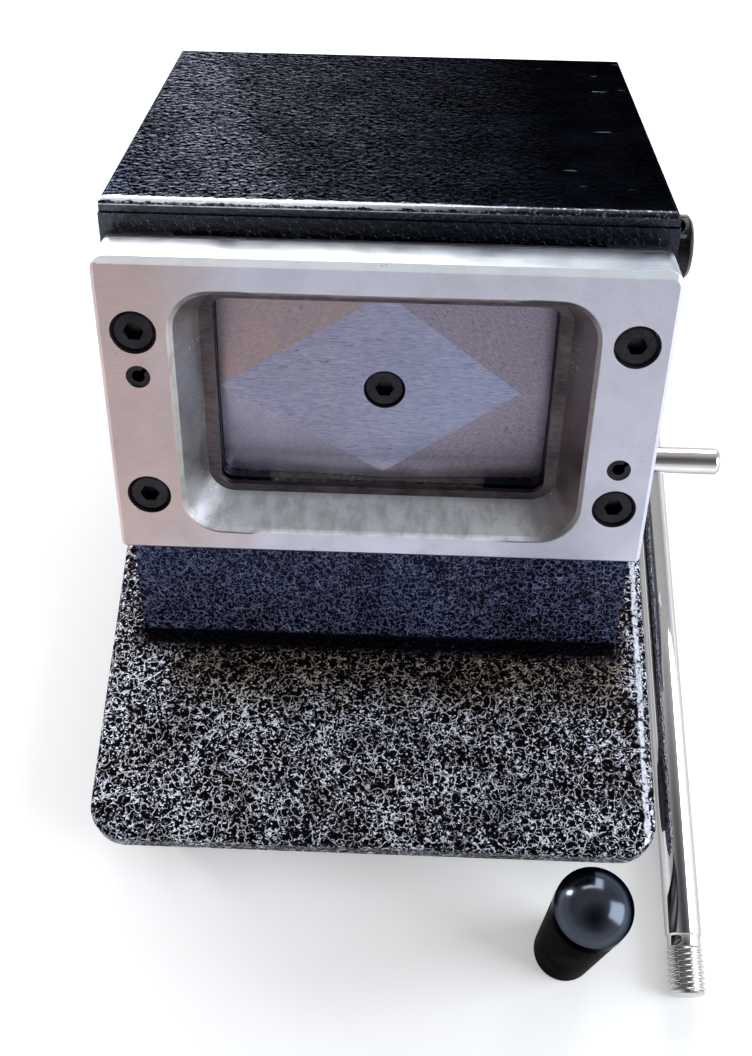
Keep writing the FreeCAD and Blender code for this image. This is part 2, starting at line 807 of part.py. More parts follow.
def leverShaft():
    left = -bodyHalf - shaftLeftStub
    shaft = bar(shaftRadius, Vector(left, shaftSetback, shaftHeight), shaftRight - left, alongX)
    ends = [edge for edge in shaft.Edges if edge.BoundBox.XLength < cutClearance]
    shaft = shaft.makeChamfer(shaftChamfer, ends)
    shaft = shaft.cut(shaftKeyCut(keyWidth, keyLength, boreSlack))
    groove = bar(shaftRadius + overrun, Vector(-bodyHalf - circlipThick - seamGap, shaftSetback, shaftHeight),
                 circlipThick, alongX)
    core = bar(circlipSeat, Vector(left, shaftSetback, shaftHeight), shaftRight, alongX)
    shaft = shaft.cut(groove.cut(core))
    along = leverDirection()
    centre = Vector(leverPlaneX(), shaftSetback, shaftHeight)
    tapRadius = rodRadius - threadDepth
    hole = bar(tapRadius, centre - along * (shaftRadius - shaftChamfer - m4), 2 * shaftRadius, along)
    mouth = Part.makeCone(tapRadius, rodRadius + overrun, threadDepth + overrun,
                          centre + along * (shaftRadius - threadDepth), along)
    return leaned(shaft.cut(hole).cut(mouth))


def eccentricCam():
    centre = Vector(-camHalfWidth, camSetback, camLift)
    cam = bar(camRadius, centre, 2 * camHalfWidth, alongX)
    bore = Vector(-camHalfWidth - overrun, shaftSetback, shaftHeight)
    cam = cam.cut(bar(shaftRadius + boreSlack, bore, 2 * camHalfWidth + 2 * overrun, alongX))
    cam = cam.cut(shaftKeyCut(keyWidth, keyLength, boreSlack))
    return leaned(cam.cut(setScrewHole(boreSlack)))


def throwDirection():
    along = Vector(0, camSetback - shaftSetback, camLift - shaftHeight)
    along.normalize()
    return along


def setScrewHole(slack):
    start = Vector(0, shaftSetback, shaftHeight) + throwDirection() * shaftRadius
    return bar(m5 + slack, start, 2 * shaftRadius, throwDirection())


def camSetScrew():
    along = throwDirection()
    start = Vector(0, shaftSetback, shaftHeight) + along * (shaftRadius + boreSlack)
    screw = bar(m5, start, setScrewLength, along)
    mouth = start + along * setScrewLength
    socket = hexSocket(m5 * hexAcrossShare, setScrewLength * hexDepthShare, mouth, -along)
    return leaned(screw.cut(socket))


def camKey():
    return leaned(shaftKeyCut(keyWidth, keyLength, 0))


def shaftSpacers():
    out = []
    inner = camHalfWidth + seamGap
    outer = sideInner - bushFlangeThick - seamGap
    for start in (-outer, inner):
        at = Vector(start, shaftSetback, shaftHeight)
        tube = bar(spacerTubeRadius, at, outer - inner, alongX)
        out.append(tube.cut(bar(spacerTubeBore, at, outer - inner, alongX)))
    return leaned(group(out))


def shaftBush(side):
    # A flanged bush: the collar bears on the inner side of the wall
    collarStart = side * sideInner - (bushFlangeThick if side > 0 else 0)
    sleeveStart = sideInner if side > 0 else -bodyHalf
    sleeve = bar(bushRadius, Vector(sleeveStart, shaftSetback, shaftHeight), sideThick, alongX)
    collar = bar(shaftRadius + bushFlange, Vector(collarStart, shaftSetback, shaftHeight),
                 bushFlangeThick, alongX)
    bore = bar(shaftRadius + runningSlack, Vector(-baseWidth, shaftSetback, shaftHeight),
               2 * baseWidth, alongX)
    return leaned(sleeve.fuse(collar).cut(bore).removeSplitter())


def shaftCirclip():
    start = Vector(-bodyHalf - circlipThick - seamGap, shaftSetback, shaftHeight)
    thick = circlipThick - seamGap
    ring = bar(circlipRadius, start, thick, alongX)
    ring = ring.cut(bar(circlipSeat + boreSlack, start, thick, alongX))
    gap = Part.makeCylinder(circlipRadius + overrun, thick, start, alongX, circlipGapAngle)
    return leaned(ring.cut(gap))


# Loose lever rod and grip

def threadRidges(start, length):
    # Profile points of a turned thread, from one end of the threaded stretch to the other
    turns = int(length / threadPitch)
    points = []
    for turn in range(turns):
        valley = start + threadPitch * turn
        points.append(Vector(rodRadius - threadDepth, 0, valley))
        points.append(Vector(rodRadius, 0, valley + threadPitch / 2))
    points.append(Vector(rodRadius - threadDepth, 0, start + threadPitch * turns))
    return points


def leverRod():
    # Both ends are threaded: one screws into the shaft, the other into the grip
    near = threadRidges(rodChamfer, threadLength)
    farStart = rodLength - rodChamfer - threadPitch * int(threadLength / threadPitch)
    far = threadRidges(farStart, threadLength)
    nearEnd = near[-1].z
    profile = [Vector(0, 0, 0), Vector(rodRadius - threadDepth - rodChamfer / 2, 0, 0)]
    profile += near
    profile += [Vector(threadNeckRadius, 0, nearEnd + threadDepth),
                Vector(threadNeckRadius, 0, nearEnd + threadNeck),
                Vector(rodRadius, 0, nearEnd + threadNeck + rodRadius - threadNeckRadius),
                Vector(rodRadius, 0, farStart - rodChamfer)]
    profile += far
    profile += [Vector(rodRadius - threadDepth - rodChamfer / 2, 0, rodLength), Vector(0, 0, rodLength)]
    face = Part.Face(Part.makePolygon(profile + [profile[0]]))
    rod = face.revolve(Vector(0, 0, 0), alongZ, 360)
    front = Vector(rodX, axisY - rodFrontFromAxis, floorZ + rodRadius)
    rod.Placement = Placement(front, Rotation(alongZ, rodYaw).multiply(Rotation(alongZ, alongY)))
    return rod


def gripPlace():
    return Vector(gripX, axisY - gripFromAxis, floorZ)


def gripBody():
    flat = gripFootRadius - gripFootChamfer
    top = gripBodyHeight - gripShoulder
    profile = [Vector(0, 0, 0), Vector(flat, 0, 0), Vector(gripFootRadius, 0, gripFootChamfer),
               Vector(gripBodyRadius, 0, top), Vector(gripBodyRadius - gripShoulderInset, 0, gripBodyHeight),
               Vector(0, 0, gripBodyHeight)]
    body = Part.Face(Part.makePolygon(profile + [profile[0]])).revolve(Vector(0, 0, 0), alongZ, 360)
    body = body.cut(bar(insertRadius + boreSlack, Vector(0, 0, 0), insertLength + boreSlack, alongZ))
    body = body.cut(bar(rodRadius + freeHole, Vector(0, 0, 0), gripHoleDepth, alongZ))
    spigot = Vector(0, 0, gripBodyHeight - gripCapSpigot - boreSlack)
    body = body.cut(bar(gripCapSpigotRadius + boreSlack, spigot, gripCapSpigot + overrun, alongZ))
    body.translate(gripPlace())
    return body


def gripInsert():
    insert = bar(insertRadius, Vector(0, 0, 0), insertLength, alongZ)
    insert = insert.cut(bar(rodRadius - threadDepth, Vector(0, 0, 0), insertLength, alongZ))
    insert.translate(gripPlace())
    return insert


def gripCap():
    # A short skirt under a dome, with a spigot pressed into the body
    rise = gripCapHeight - gripCapSkirt
    bulge = (gripCapRadius ** 2 + rise ** 2) / (2 * rise)
    half = math.asin(gripCapRadius / bulge) / 2
    centre = gripCapHeight - bulge
    side = Vector(gripCapRadius, 0, gripCapSkirt)
    middle = Vector(bulge * math.sin(half), 0, centre + bulge * math.cos(half))
    peak = Vector(0, 0, gripCapHeight)
    foot = Vector(gripCapRadius, 0, 0)
    hub = Vector(0, 0, 0)
    edges = [Part.makeLine(hub, foot), Part.makeLine(foot, side),
             Part.Arc(side, middle, peak).toShape(), Part.makeLine(peak, hub)]
    dome = Part.Face(Part.Wire(edges)).revolve(Vector(0, 0, 0), alongZ, 360)
    spigot = bar(gripCapSpigotRadius, Vector(0, 0, -gripCapSpigot), gripCapSpigot, alongZ)
    cap = dome.fuse(spigot).removeSplitter()
    cap.translate(gripPlace() + alongZ * gripBodyHeight)
    return cap


nodes = {
    "base_plate": basePlate(),
    "rubber_feet": rubberFeet(),
    "foot_screws": footScrews(),
    "base_screws": baseScrewSet(),
    "front_panel": frontPanel(),
    "side_panel_left": sidePanel(-1),
    "side_panel_right": sidePanel(1),
    "rear_panel": rearPanel(),
    "frame_screws": frameScrewSet(),
    "rear_screws": rearScrewSet(),
    "top_cover": topCover(),
    "cover_dowels": coverDowelSet(),
    "cover_screws": coverScrewSet(),
    "die_block": leaned(dieBlock()),
    "die_plate": leaned(diePlate()),
    "slot_spacer": leaned(slotSpacer()),
    "sheet_stop_bar": leaned(sheetStopBar()),
    "die_screws": leaned(dieScrewSet()),
    "spring_pins": leaned(springPinSet()),
    "stop_pin": stopPin(),
    "stop_pin_nut": stopPinNut(),
    "guide_pillars": guidePillars(),
    "return_springs": returnSprings(),
    "shaft_bush_left": shaftBush(-1),
    "shaft_bush_right": shaftBush(1),
    "punch": punch(),
    "punch_screw": punchScrew(),
    "punch_dowels": punchDowels(),
    "punch_holder": punchHolder(),
    "holder_bushes": holderBushes(),
    "drive_yoke": driveYoke(),
    "yoke_screws": yokeScrewSet(),
    "lever_shaft": leverShaft(),
    "eccentric_cam": eccentricCam(),
    "cam_key": camKey(),
    "cam_set_screw": camSetScrew(),
    "shaft_spacers": shaftSpacers(),
    "shaft_circlip": shaftCirclip(),
    "lever_rod": leverRod(),
    "grip_body": gripBody(),
    "grip_insert": gripInsert(),
    "grip_cap": gripCap(),
}

os.makedirs("parts", exist_ok=True)
for name, shape in nodes.items():
    print(name, "solids", len(shape.Solids), "valid", shape.isValid(), "volume", round(shape.Volume, 1))
    shape.exportStep("parts/" + name + ".step")

shaftPoint = leanedPoint(0, shaftSetback, shaftHeight)
print("shaft axis at", shaftPoint, "slide direction", leanPlace.Rotation.multVec(-alongY))
print("die face centre", leanedPoint(0, 0, 0), "stroke", strokeLength, "eccentricity", eccentricity)
print("lever plane", leverPlaneX(), "rest direction", leanPlace.Rotation.multVec(leverDirection()))
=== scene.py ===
import json
import math

import bmesh
import bpy
from mathutils import Matrix, Vector


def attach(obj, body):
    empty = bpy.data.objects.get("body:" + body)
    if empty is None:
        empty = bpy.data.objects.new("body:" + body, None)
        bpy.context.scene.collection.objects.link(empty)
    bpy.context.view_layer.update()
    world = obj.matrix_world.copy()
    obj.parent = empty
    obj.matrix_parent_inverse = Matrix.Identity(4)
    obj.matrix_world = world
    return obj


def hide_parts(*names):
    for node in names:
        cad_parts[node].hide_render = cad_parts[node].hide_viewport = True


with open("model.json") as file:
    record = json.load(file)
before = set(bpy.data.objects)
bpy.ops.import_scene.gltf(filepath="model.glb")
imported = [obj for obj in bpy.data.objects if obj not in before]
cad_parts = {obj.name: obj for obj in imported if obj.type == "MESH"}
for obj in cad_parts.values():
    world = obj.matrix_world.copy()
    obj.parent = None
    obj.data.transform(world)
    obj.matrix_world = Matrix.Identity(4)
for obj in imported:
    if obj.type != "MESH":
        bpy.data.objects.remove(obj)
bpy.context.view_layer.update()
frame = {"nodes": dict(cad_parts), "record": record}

record = frame["record"]
bodyOf = {node: body for body, nodes in record["behaviour"]["bodies"].items() for node in nodes}
slotOf = {part["node"]: part["material_slot"] for part in record["subparts"]}
mm = 0.001

# The body leans back: x runs across the die, y into the body, z up the die's face
lean = {
    "angle": 27,
    "origin": (0, -40.3 * mm, 89.1 * mm),
}


# Camera, lights and floor

camera = {
    "location": (5.54 * mm, -211.37 * mm, 361.38 * mm),
    "turn": (27.59, 0.13, 2.18),
    "lens": 44.175,
    "nearest": 0.01,
}

lamps = {
    "rearWindow": {"towards": (0.02, 0.88, 0.44), "away": 1.2, "size": (1.1, 0.75), "watts": 15,
                   "colour": (0.92, 0.96, 1.0)},
    "leftWindow": {"towards": (-0.82, 0.52, 0.22), "away": 1.1, "size": (0.22, 0.30), "watts": 5.0,
                   "colour": (1.0, 0.98, 0.96)},
    "rearLeft": {"towards": (-0.42, 0.90, 0.10), "away": 1.2, "size": (0.45, 0.25), "watts": 8.0,
                 "colour": (1.0, 1.0, 1.0)},
    "rightWindow": {"towards": (0.88, -0.20, 0.40), "away": 1.1, "size": (0.75, 0.85), "watts": 12.0,
                    "colour": (0.88, 0.94, 1.0)},
}

studio = {
    "aim": (0, -0.03, 0.05),
    "floorHeight": -16 * mm,
    "floorHalf": 15.0,
    "floorColour": (0.82, 0.82, 0.82, 1),
    "floorRoughness": 0.9,
    "floorGloss": 0.1,
    "floorGlow": (0.33, 0.47),
    "glowFrom": (0.7, 1.8),
    "horizon": (0.80, 0.80, 0.81, 1),
    "horizonTo": (0.20, 0.45),
    "skyLow": (0.40, 0.40, 0.43, 1),
    "skyHigh": (0.48, 0.465, 0.46, 1),
    "skyRise": (0.45, 0.85),
    "person": (0.07, 0.07, 0.08, 1),
    "personTowards": (0.0, -0.46, 0.886),
    "personEdge": (0.70, 0.985),
}


def addCamera():
    data = bpy.data.cameras.new("camera")
    data.lens = camera["lens"]
    data.clip_start = camera["nearest"]
    holder = bpy.data.objects.new("camera", data)
    holder.location = camera["location"]
    holder.rotation_euler = [math.radians(angle) for angle in camera["turn"]]
    bpy.context.scene.collection.objects.link(holder)
    bpy.context.scene.camera = holder


def addLamp(name, lamp):
    data = bpy.data.lights.new(name, "AREA")
    data.shape = "RECTANGLE"
    data.size, data.size_y = lamp["size"]
    data.energy = lamp["watts"]
    data.color = lamp["colour"]
    holder = bpy.data.objects.new(name, data)
    towards = Vector(lamp["towards"]).normalized()
    holder.location = Vector(studio["aim"]) + towards * lamp["away"]
    holder.rotation_euler = towards.to_track_quat("Z", "Y").to_euler()
    bpy.context.scene.collection.objects.link(holder)


def addFloor():
    bm = bmesh.new()
    bmesh.ops.create_grid(bm, x_segments=1, y_segments=1, size=studio["floorHalf"])
    bmesh.ops.translate(bm, vec=(0, 0, studio["floorHeight"]), verts=bm.verts)
    mesh = bpy.data.meshes.new("floor")
    bm.to_mesh(mesh)
    bm.free()
    floor = bpy.data.objects.new("floor", mesh)
    bpy.context.scene.collection.objects.link(floor)
    material = bpy.data.materials.new("floorPaper")
    material.use_nodes = True
    tree = material.node_tree
    shader = tree.nodes["Principled BSDF"]
    shader.inputs["Base Color"].default_value = studio["floorColour"]
    shader.inputs["Roughness"].default_value = studio["floorRoughness"]
    shader.inputs["Specular IOR Level"].default_value = studio["floorGloss"]
    # The floor is lifted towards white for the camera, and for what metal and glass show of it
    path = tree.nodes.new("ShaderNodeLightPath")
    seen = greatest(tree, path.outputs["Is Camera Ray"], path.outputs["Is Glossy Ray"],
                    path.outputs["Is Transmission Ray"])
    shader.inputs["Emission Color"].default_value = (1, 1, 1, 1)
    reach = tree.nodes.new("ShaderNodeVectorMath")
    reach.operation = "LENGTH"
    tree.links.new(objectCoords(tree), reach.inputs[0])
    glow = remap(tree, reach.outputs["Value"], *studio["glowFrom"], *studio["floorGlow"])
    tree.links.new(product(tree, seen, glow), shader.inputs["Emission Strength"])
    floor.data.materials.append(material)


def addSky():
    world = bpy.data.worlds.new("studio")
    bpy.context.scene.world = world
    world.use_nodes = True
    tree = world.node_tree
    direction = tree.nodes.new("ShaderNodeTexCoord")
    height = axes(tree, direction.outputs["Generated"])[2]
    sky = mixColours(tree, remap(tree, height, *studio["skyRise"]), studio["skyLow"], studio["skyHigh"])
    sky = mixColours(tree, remap(tree, height, *studio["horizonTo"]), studio["horizon"], sky)
    # The photographer leans over the part and shades that side of the sky
    towards = tree.nodes.new("ShaderNodeVectorMath")
    towards.operation = "DOT_PRODUCT"
    towards.inputs[1].default_value = studio["personTowards"]
    tree.links.new(direction.outputs["Generated"], towards.inputs[0])
    near = remap(tree, towards.outputs["Value"], *studio["personEdge"])
    sky = mixColours(tree, near, sky, studio["person"])
    tree.links.new(sky, tree.nodes["Background"].inputs["Color"])


# Node helpers. Pattern sizes are real lengths, because Object coordinates are in metres.

def newFinish(name, sockets):
    # A value that is the same all over stands on the shader's own socket
    material = bpy.data.materials.new(name)
    material.use_nodes = True
    shader = material.node_tree.nodes["Principled BSDF"]
    for socket, value in sockets.items():
        shader.inputs[socket].default_value = value
    return material, material.node_tree, shader


def setSocket(tree, socket, value):
    if isinstance(value, bpy.types.NodeSocket):
        tree.links.new(value, socket)
    else:
        socket.default_value = value


def objectCoords(tree):
    return tree.nodes.new("ShaderNodeTexCoord").outputs["Object"]


def leaningCoords(tree):
    coords = tree.nodes.new("ShaderNodeTexCoord")
    mapping = tree.nodes.new("ShaderNodeMapping")
    mapping.vector_type = "TEXTURE"
    mapping.inputs["Location"].default_value = lean["origin"]
    mapping.inputs["Rotation"].default_value = (-math.radians(lean["angle"]), 0, 0)
    tree.links.new(coords.outputs["Object"], mapping.inputs["Vector"])
    return mapping.outputs["Vector"]


def stretched(tree, vector, stretch, turn=(0, 0, 0)):
    mapping = tree.nodes.new("ShaderNodeMapping")
    mapping.inputs["Scale"].default_value = stretch
    mapping.inputs["Rotation"].default_value = [math.radians(angle) for angle in turn]
    tree.links.new(vector, mapping.inputs["Vector"])
    return mapping.outputs["Vector"]


def axes(tree, vector):
    split = tree.nodes.new("ShaderNodeSeparateXYZ")
    tree.links.new(vector, split.inputs[0])
    return split.outputs["X"], split.outputs["Y"], split.outputs["Z"]


def joined(tree, x, y, z):
    join = tree.nodes.new("ShaderNodeCombineXYZ")
    for socket, value in zip(join.inputs, (x, y, z)):
        setSocket(tree, socket, value)
    return join.outputs[0]


def calc(tree, operation, first, second=0.0, clamp=False):
    node = tree.nodes.new("ShaderNodeMath")
    node.operation = operation
    node.use_clamp = clamp
    setSocket(tree, node.inputs[0], first)
    setSocket(tree, node.inputs[1], second)
    return node.outputs[0]


def product(tree, *values):
    total = values[0]
    for value in values[1:]:
        total = calc(tree, "MULTIPLY", total, value)
    return total


def greatest(tree, *values):
    total = values[0]
    for value in values[1:]:
        total = calc(tree, "MAXIMUM", total, value)
    return total


def remainder(tree, value, clamp=False):
    return calc(tree, "SUBTRACT", 1.0, value, clamp)


def remap(tree, value, low, high, outLow=0.0, outHigh=1.0):
    node = tree.nodes.new("ShaderNodeMapRange")
    node.inputs["From Min"].default_value = low
    node.inputs["From Max"].default_value = high
    node.inputs["To Min"].default_value = outLow
    node.inputs["To Max"].default_value = outHigh
    tree.links.new(value, node.inputs["Value"])
    return node.outputs[0]


def noise(tree, vector, size, detail=2.0, rough=0.5, twist=0.0):
    node = tree.nodes.new("ShaderNodeTexNoise")
    node.inputs["Scale"].default_value = 1 / size
    node.inputs["Detail"].default_value = detail
    node.inputs["Roughness"].default_value = rough
    node.inputs["Distortion"].default_value = twist
    tree.links.new(vector, node.inputs["Vector"])
    return node.outputs["Fac"]


def wobbled(tree, vector, size, amount):
    # Shifts the coordinates by a smooth random offset, so that cells lose their straight borders
    node = tree.nodes.new("ShaderNodeTexNoise")
    node.inputs["Scale"].default_value = 1 / size
    node.inputs["Detail"].default_value = 1.0
    tree.links.new(vector, node.inputs["Vector"])
    centred = tree.nodes.new("ShaderNodeVectorMath")
    centred.operation = "MULTIPLY_ADD"
    centred.inputs[1].default_value = (2 * amount,) * 3
    centred.inputs[2].default_value = (-amount,) * 3
    tree.links.new(node.outputs["Color"], centred.inputs[0])
    total = tree.nodes.new("ShaderNodeVectorMath")
    tree.links.new(vector, total.inputs[0])
    tree.links.new(centred.outputs[0], total.inputs[1])
    return total.outputs[0]


def cells(tree, vector, size, feature="F1"):
    node = tree.nodes.new("ShaderNodeTexVoronoi")
    node.feature = feature
    node.inputs["Scale"].default_value = 1 / size
    tree.links.new(vector, node.inputs["Vector"])
    return node.outputs["Distance"]


def contours(tree, vector, size, width):
    # Thin winding lines, where a smooth noise crosses its middle value
    waves = noise(tree, vector, size, 2, 0.55)
    return remap(tree, calc(tree, "ABSOLUTE", calc(tree, "SUBTRACT", waves, 0.5)), width, width * 0.45)


def shifted(tree, vector, offset):
    node = tree.nodes.new("ShaderNodeVectorMath")
    tree.links.new(vector, node.inputs[0])
    node.inputs[1].default_value = offset
    return node.outputs[0]


def mixColours(tree, share, first, second, kind="MIX"):
    node = tree.nodes.new("ShaderNodeMix")
    node.data_type = "RGBA"
    node.blend_type = kind
    node.clamp_result = True
    setSocket(tree, node.inputs[0], share)
    for socket, colour in ((node.inputs[6], first), (node.inputs[7], second)):
        if not isinstance(colour, bpy.types.NodeSocket) and len(colour) == 3:
            colour = (*colour, 1)
        setSocket(tree, socket, colour)
    return node.outputs[2]


def rimmed(tree, colour, rim):
    # Painted reflection: round polished metal is painted darker near its outline, where it mirrors darker
    # things
    facing = tree.nodes.new("ShaderNodeLayerWeight")
    facing.inputs["Blend"].default_value = 0.5
    return mixColours(tree, remap(tree, facing.outputs["Facing"], 0.30, 0.70), colour, rim)


def addRelief(tree, shader, height, depth):
    node = tree.nodes.new("ShaderNodeBump")
    node.inputs["Strength"].default_value = 1
    node.inputs["Distance"].default_value = depth
    tree.links.new(height, node.inputs["Height"])
    tree.links.new(node.outputs["Normal"], shader.inputs["Normal"])


# Painted finishes

# The ground of each enamel mirrors only what it faces squarely, so that it stays black when seen aslant

enamels = {
    "base_enamel": {
        "net": 2.8 * mm, "line": 0.041, "lineShare": 1.0,
        "worms": 2.2 * mm, "wormWidth": 0.019,
        "dots": 1.45 * mm, "dot": 0.27, "dotShare": 1.0,
        "blobs": 0.95 * mm, "blobShare": 1.0,
        "dark": (0.010, 0.006, 0.007), "blue": (0.008, 0.008, 0.014),
        "flake": (0.86, 0.89, 1.0),
        "roughness": 0.18, "relief": 0.30 * mm, "edgeTint": (0.4, 0.4, 0.4, 1),
    },
    "panel_enamel": {
        "net": 1.9 * mm, "line": 0.047, "lineShare": 0.95,
        "worms": 1.5 * mm, "wormWidth": 0.024,
        "dots": 1.6 * mm, "dot": 0.18, "dotShare": 0.9,
        "blobs": 0.7 * mm, "blobShare": 0.5,
        "dark": (0.007, 0.006, 0.011), "blue": (0.006, 0.008, 0.022),
        "flake": (0.200, 0.220, 0.375), "flakeBehind": (0.37, 0.40, 0.48),
        "roughness": 0.28, "relief": 0.10 * mm, "edgeTint": (0.4, 0.4, 0.4, 1),
    },
    "cover_enamel": {
        "dark": (0.028, 0.029, 0.038), "blue": (0.026, 0.030, 0.041),
        "flake": (0.225, 0.24, 0.295),
        "roughness": 0.20, "relief": 0.08 * mm, "edgeTint": (0, 0, 0, 1),
    },
}


def enamelFinish(name, enamel):
    material, tree, shader = newFinish(name, {"Specular IOR Level": 0.0, "Specular Tint": enamel["edgeTint"]})
    at = objectCoords(tree)
    hue = remap(tree, noise(tree, at, 22 * mm, 2), 0.42, 0.58)
    ground = mixColours(tree, hue, enamel["dark"], enamel["blue"])
    if name == "cover_enamel":
        flake, height = coverRipples(tree)
        face = frontFace(tree)
        flake = product(tree, flake, remainder(tree, face))
        ground = mixColours(tree, face, ground, plainBand(tree))
    else:
        flake, height = hammertone(tree, at, enamel)
        if name == "base_enamel":
            # Painted highlight along the base's right edge
            flake = greatest(tree, flake, paintedEdgeGlint(tree, at))
        stack = behindStack(tree)
        flake = product(tree, flake, remainder(tree, stack))
        ground = mixColours(tree, stack, ground, plainBand(tree))
    flakeColour = enamel["flake"]
    if name == "panel_enamel":
        # Painted shade: the front panel, in the shade of the die block, is painted darker and bluer than the
        # other sides
        front = remap(tree, axes(tree, leaningCoords(tree))[1], *flakes["frontPanel"])
        flakeColour = mixColours(tree, front, enamel["flakeBehind"], enamel["flake"])
    if name == "base_enamel":
        # Painted shade and reflection: the flakes near the body's foot are tinted brown
        near = nearBody(tree, *flakes["shade"][:3])
        flakeColour = mixColours(tree, near, flakeColour, flakes["shadeColour"])
    colour = mixColours(tree, flake, ground, flakeColour)
    metallic = remainder(tree, flake, True)
    if name == "cover_enamel":
        # Painted highlight along the cover's front bend
        bendHighlight = paintedBendHighlight(tree)
        colour = mixColours(tree, bendHighlight, colour, bend["bright"])
        metallic = product(tree, metallic, remainder(tree, product(tree, bendHighlight, bend["matt"])))
    tree.links.new(colour, shader.inputs["Base Color"])
    tree.links.new(metallic, shader.inputs["Metallic"])
    uneven = remap(tree, noise(tree, at, 12 * mm, 3), 0.3, 0.7, -0.04, 0.06)
    rough = calc(tree, "ADD", uneven, enamel["roughness"])
    tree.links.new(rough, shader.inputs["Roughness"])
    addRelief(tree, shader, height, enamel["relief"])
    return material


hammer = {
    "netWobble": (0.5, 0.22),
    "netBreaks": (0.42, 0.50),
    "wormBreaks": (0.44, 0.52),
    "dotWobble": (0.6, 0.2),
    "dotStrength": (0.36, 0.56, 0.25, 1.0),
    "patch": 11 * mm,
    "patchFrom": (0.42, 0.62),
    "faint": 0.68,
    "glintStretch": (0.75, 1, 1),
    "glintFrom": (0.665, 0.695),
    "glintInPatch": 0.065,
}


def hammertone(tree, at, enamel):
    # A broken net of thin lines with winding ends and round dots between them, partly the paint's own pale
    # flakes and partly painted glints, and flat painted highlights in patches, fainter outside them
    moved = wobbled(tree, at, *(enamel["net"] * share for share in hammer["netWobble"]))
    border = cells(tree, moved, enamel["net"], "DISTANCE_TO_EDGE")
    net = product(tree, remap(tree, border, enamel["line"], enamel["line"] * 0.5),
                  remap(tree, noise(tree, at, enamel["net"] * 0.8, 2), *hammer["netBreaks"]))
    worms = product(tree, contours(tree, at, enamel["worms"], enamel["wormWidth"]),
                    remap(tree, noise(tree, moved, enamel["worms"] * 0.7, 1), *hammer["wormBreaks"]))
    dotted = wobbled(tree, at, *(enamel["dots"] * share for share in hammer["dotWobble"]))
    middle = cells(tree, dotted, enamel["dots"])
    dots = product(tree, remap(tree, middle, enamel["dot"], enamel["dot"] * 0.62),
                   remap(tree, noise(tree, at, enamel["dots"] * 1.6, 1), *hammer["dotStrength"]))
    patch = calc(tree, "ADD", noise(tree, at, hammer["patch"], 3, 0.6), paintedLeftLight(tree, at))
    patch = remap(tree, patch, *hammer["patchFrom"])
    # Painted highlights: flat glints, more of them inside the patches
    glint = noise(tree, stretched(tree, at, hammer["glintStretch"]), enamel["blobs"], 2, 0.55)
    glint = calc(tree, "ADD", glint, product(tree, patch, hammer["glintInPatch"]))
    paintedGlints = product(tree, remap(tree, glint, *hammer["glintFrom"]), enamel["blobShare"])
    flake = greatest(tree, product(tree, greatest(tree, net, worms), enamel["lineShare"]),
                     product(tree, dots, enamel["dotShare"]))
    flake = greatest(tree, product(tree, flake, remap(tree, patch, 0, 1, hammer["faint"], 1.0)), paintedGlints)
    # Painted shade near the body's foot
    flake = product(tree, flake, bodyShade(tree))
    height = calc(tree, "ADD", remap(tree, middle, 0.0, 0.75, 0.8, 0), net)
    return flake, height


flakes = {
    # Painted shade near the body, a painted shadow strip at its foot, and the brown tint of the flakes there
    "shade": (-88 * mm, -74 * mm, -62 * mm, 0.45),
    "foot": (-70.5 * mm, -66.5 * mm, -74 * mm),
    "shadeColour": (0.92, 0.76, 0.62),
    "frontPanel": (18 * mm, 17 * mm),
    "bias": (60 * mm, -80 * mm, 0.03, 0.09),
    "edge": (75.4 * mm, 77.3 * mm, -148 * mm, 60 * mm),
    "stackBottom": (-37 * mm, -38.5 * mm),
    # The plain band's painted light, greyer on the left
    "faceLeft": (0.085, 0.095, 0.110),
    "faceRight": (0.036, 0.040, 0.056),
    "faceFrom": (-66 * mm, 10 * mm),
    "coverBelow": 48.3 * mm,
    # Painted highlight low in the slot, standing in for the lit sheet stop bar
    "paintedBarLight": (0.42, 0.42, 0.36),
    "paintedBarLightTop": (-26.8 * mm, -27.2 * mm),
    "paintedBarLightLeft": (-30.6 * mm, -30.1 * mm),
    "paintedBarLightRight": (27.6 * mm, 27.1 * mm),
    "speck": (0.22, 0.23, 0.27),
    "speckFrom": (0.54, 0.66, 0, 0.35),
    "speckAbove": (46.3 * mm, 46.5 * mm, 0.15, 1.0),
}


def paintedEdgeGlint(tree, at):
    # Painted highlight: a broken bright line along the base's right edge
    x, y, z = axes(tree, at)
    inner, outer, start, end = flakes["edge"]
    uneven = product(tree, noise(tree, at, 2.2 * mm, 2), 1.4 * mm)
    across = calc(tree, "ADD", x, uneven)
    return product(tree, remap(tree, across, inner, inner + 0.4 * mm),
                   remap(tree, across, outer, outer - 0.4 * mm),
                   remap(tree, y, start, start + 3 * mm), remap(tree, y, end, end - 3 * mm),
                   remap(tree, z, 7 * mm, 8 * mm), remap(tree, noise(tree, at, 1.6 * mm, 2), 0.36, 0.46))


def paintedLeftLight(tree, at):
    # Painted light: more and brighter flakes and glints are painted on the left, where the light falls
    return remap(tree, axes(tree, at)[0], *flakes["bias"])


def nearBody(tree, fromY, toY, leftX):
    # 1 on the base close to the body's foot, between the body's two sides
    x, y, z = axes(tree, objectCoords(tree))
    return product(tree, remap(tree, y, fromY, toY), remap(tree, z, 10 * mm, 9 * mm),
                   remap(tree, x, leftX, leftX + 6 * mm), remap(tree, x, 74 * mm, 68 * mm))


def bodyShade(tree):
    # Painted shade: the flakes are painted fainter where the base runs under the body, and painted out in a
    # shadow strip at its foot
    fromY, toY, leftX, least = flakes["shade"]
    faint = remainder(tree, product(tree, nearBody(tree, fromY, toY, leftX), 1 - least))
    return product(tree, faint, remainder(tree, nearBody(tree, *flakes["foot"])))


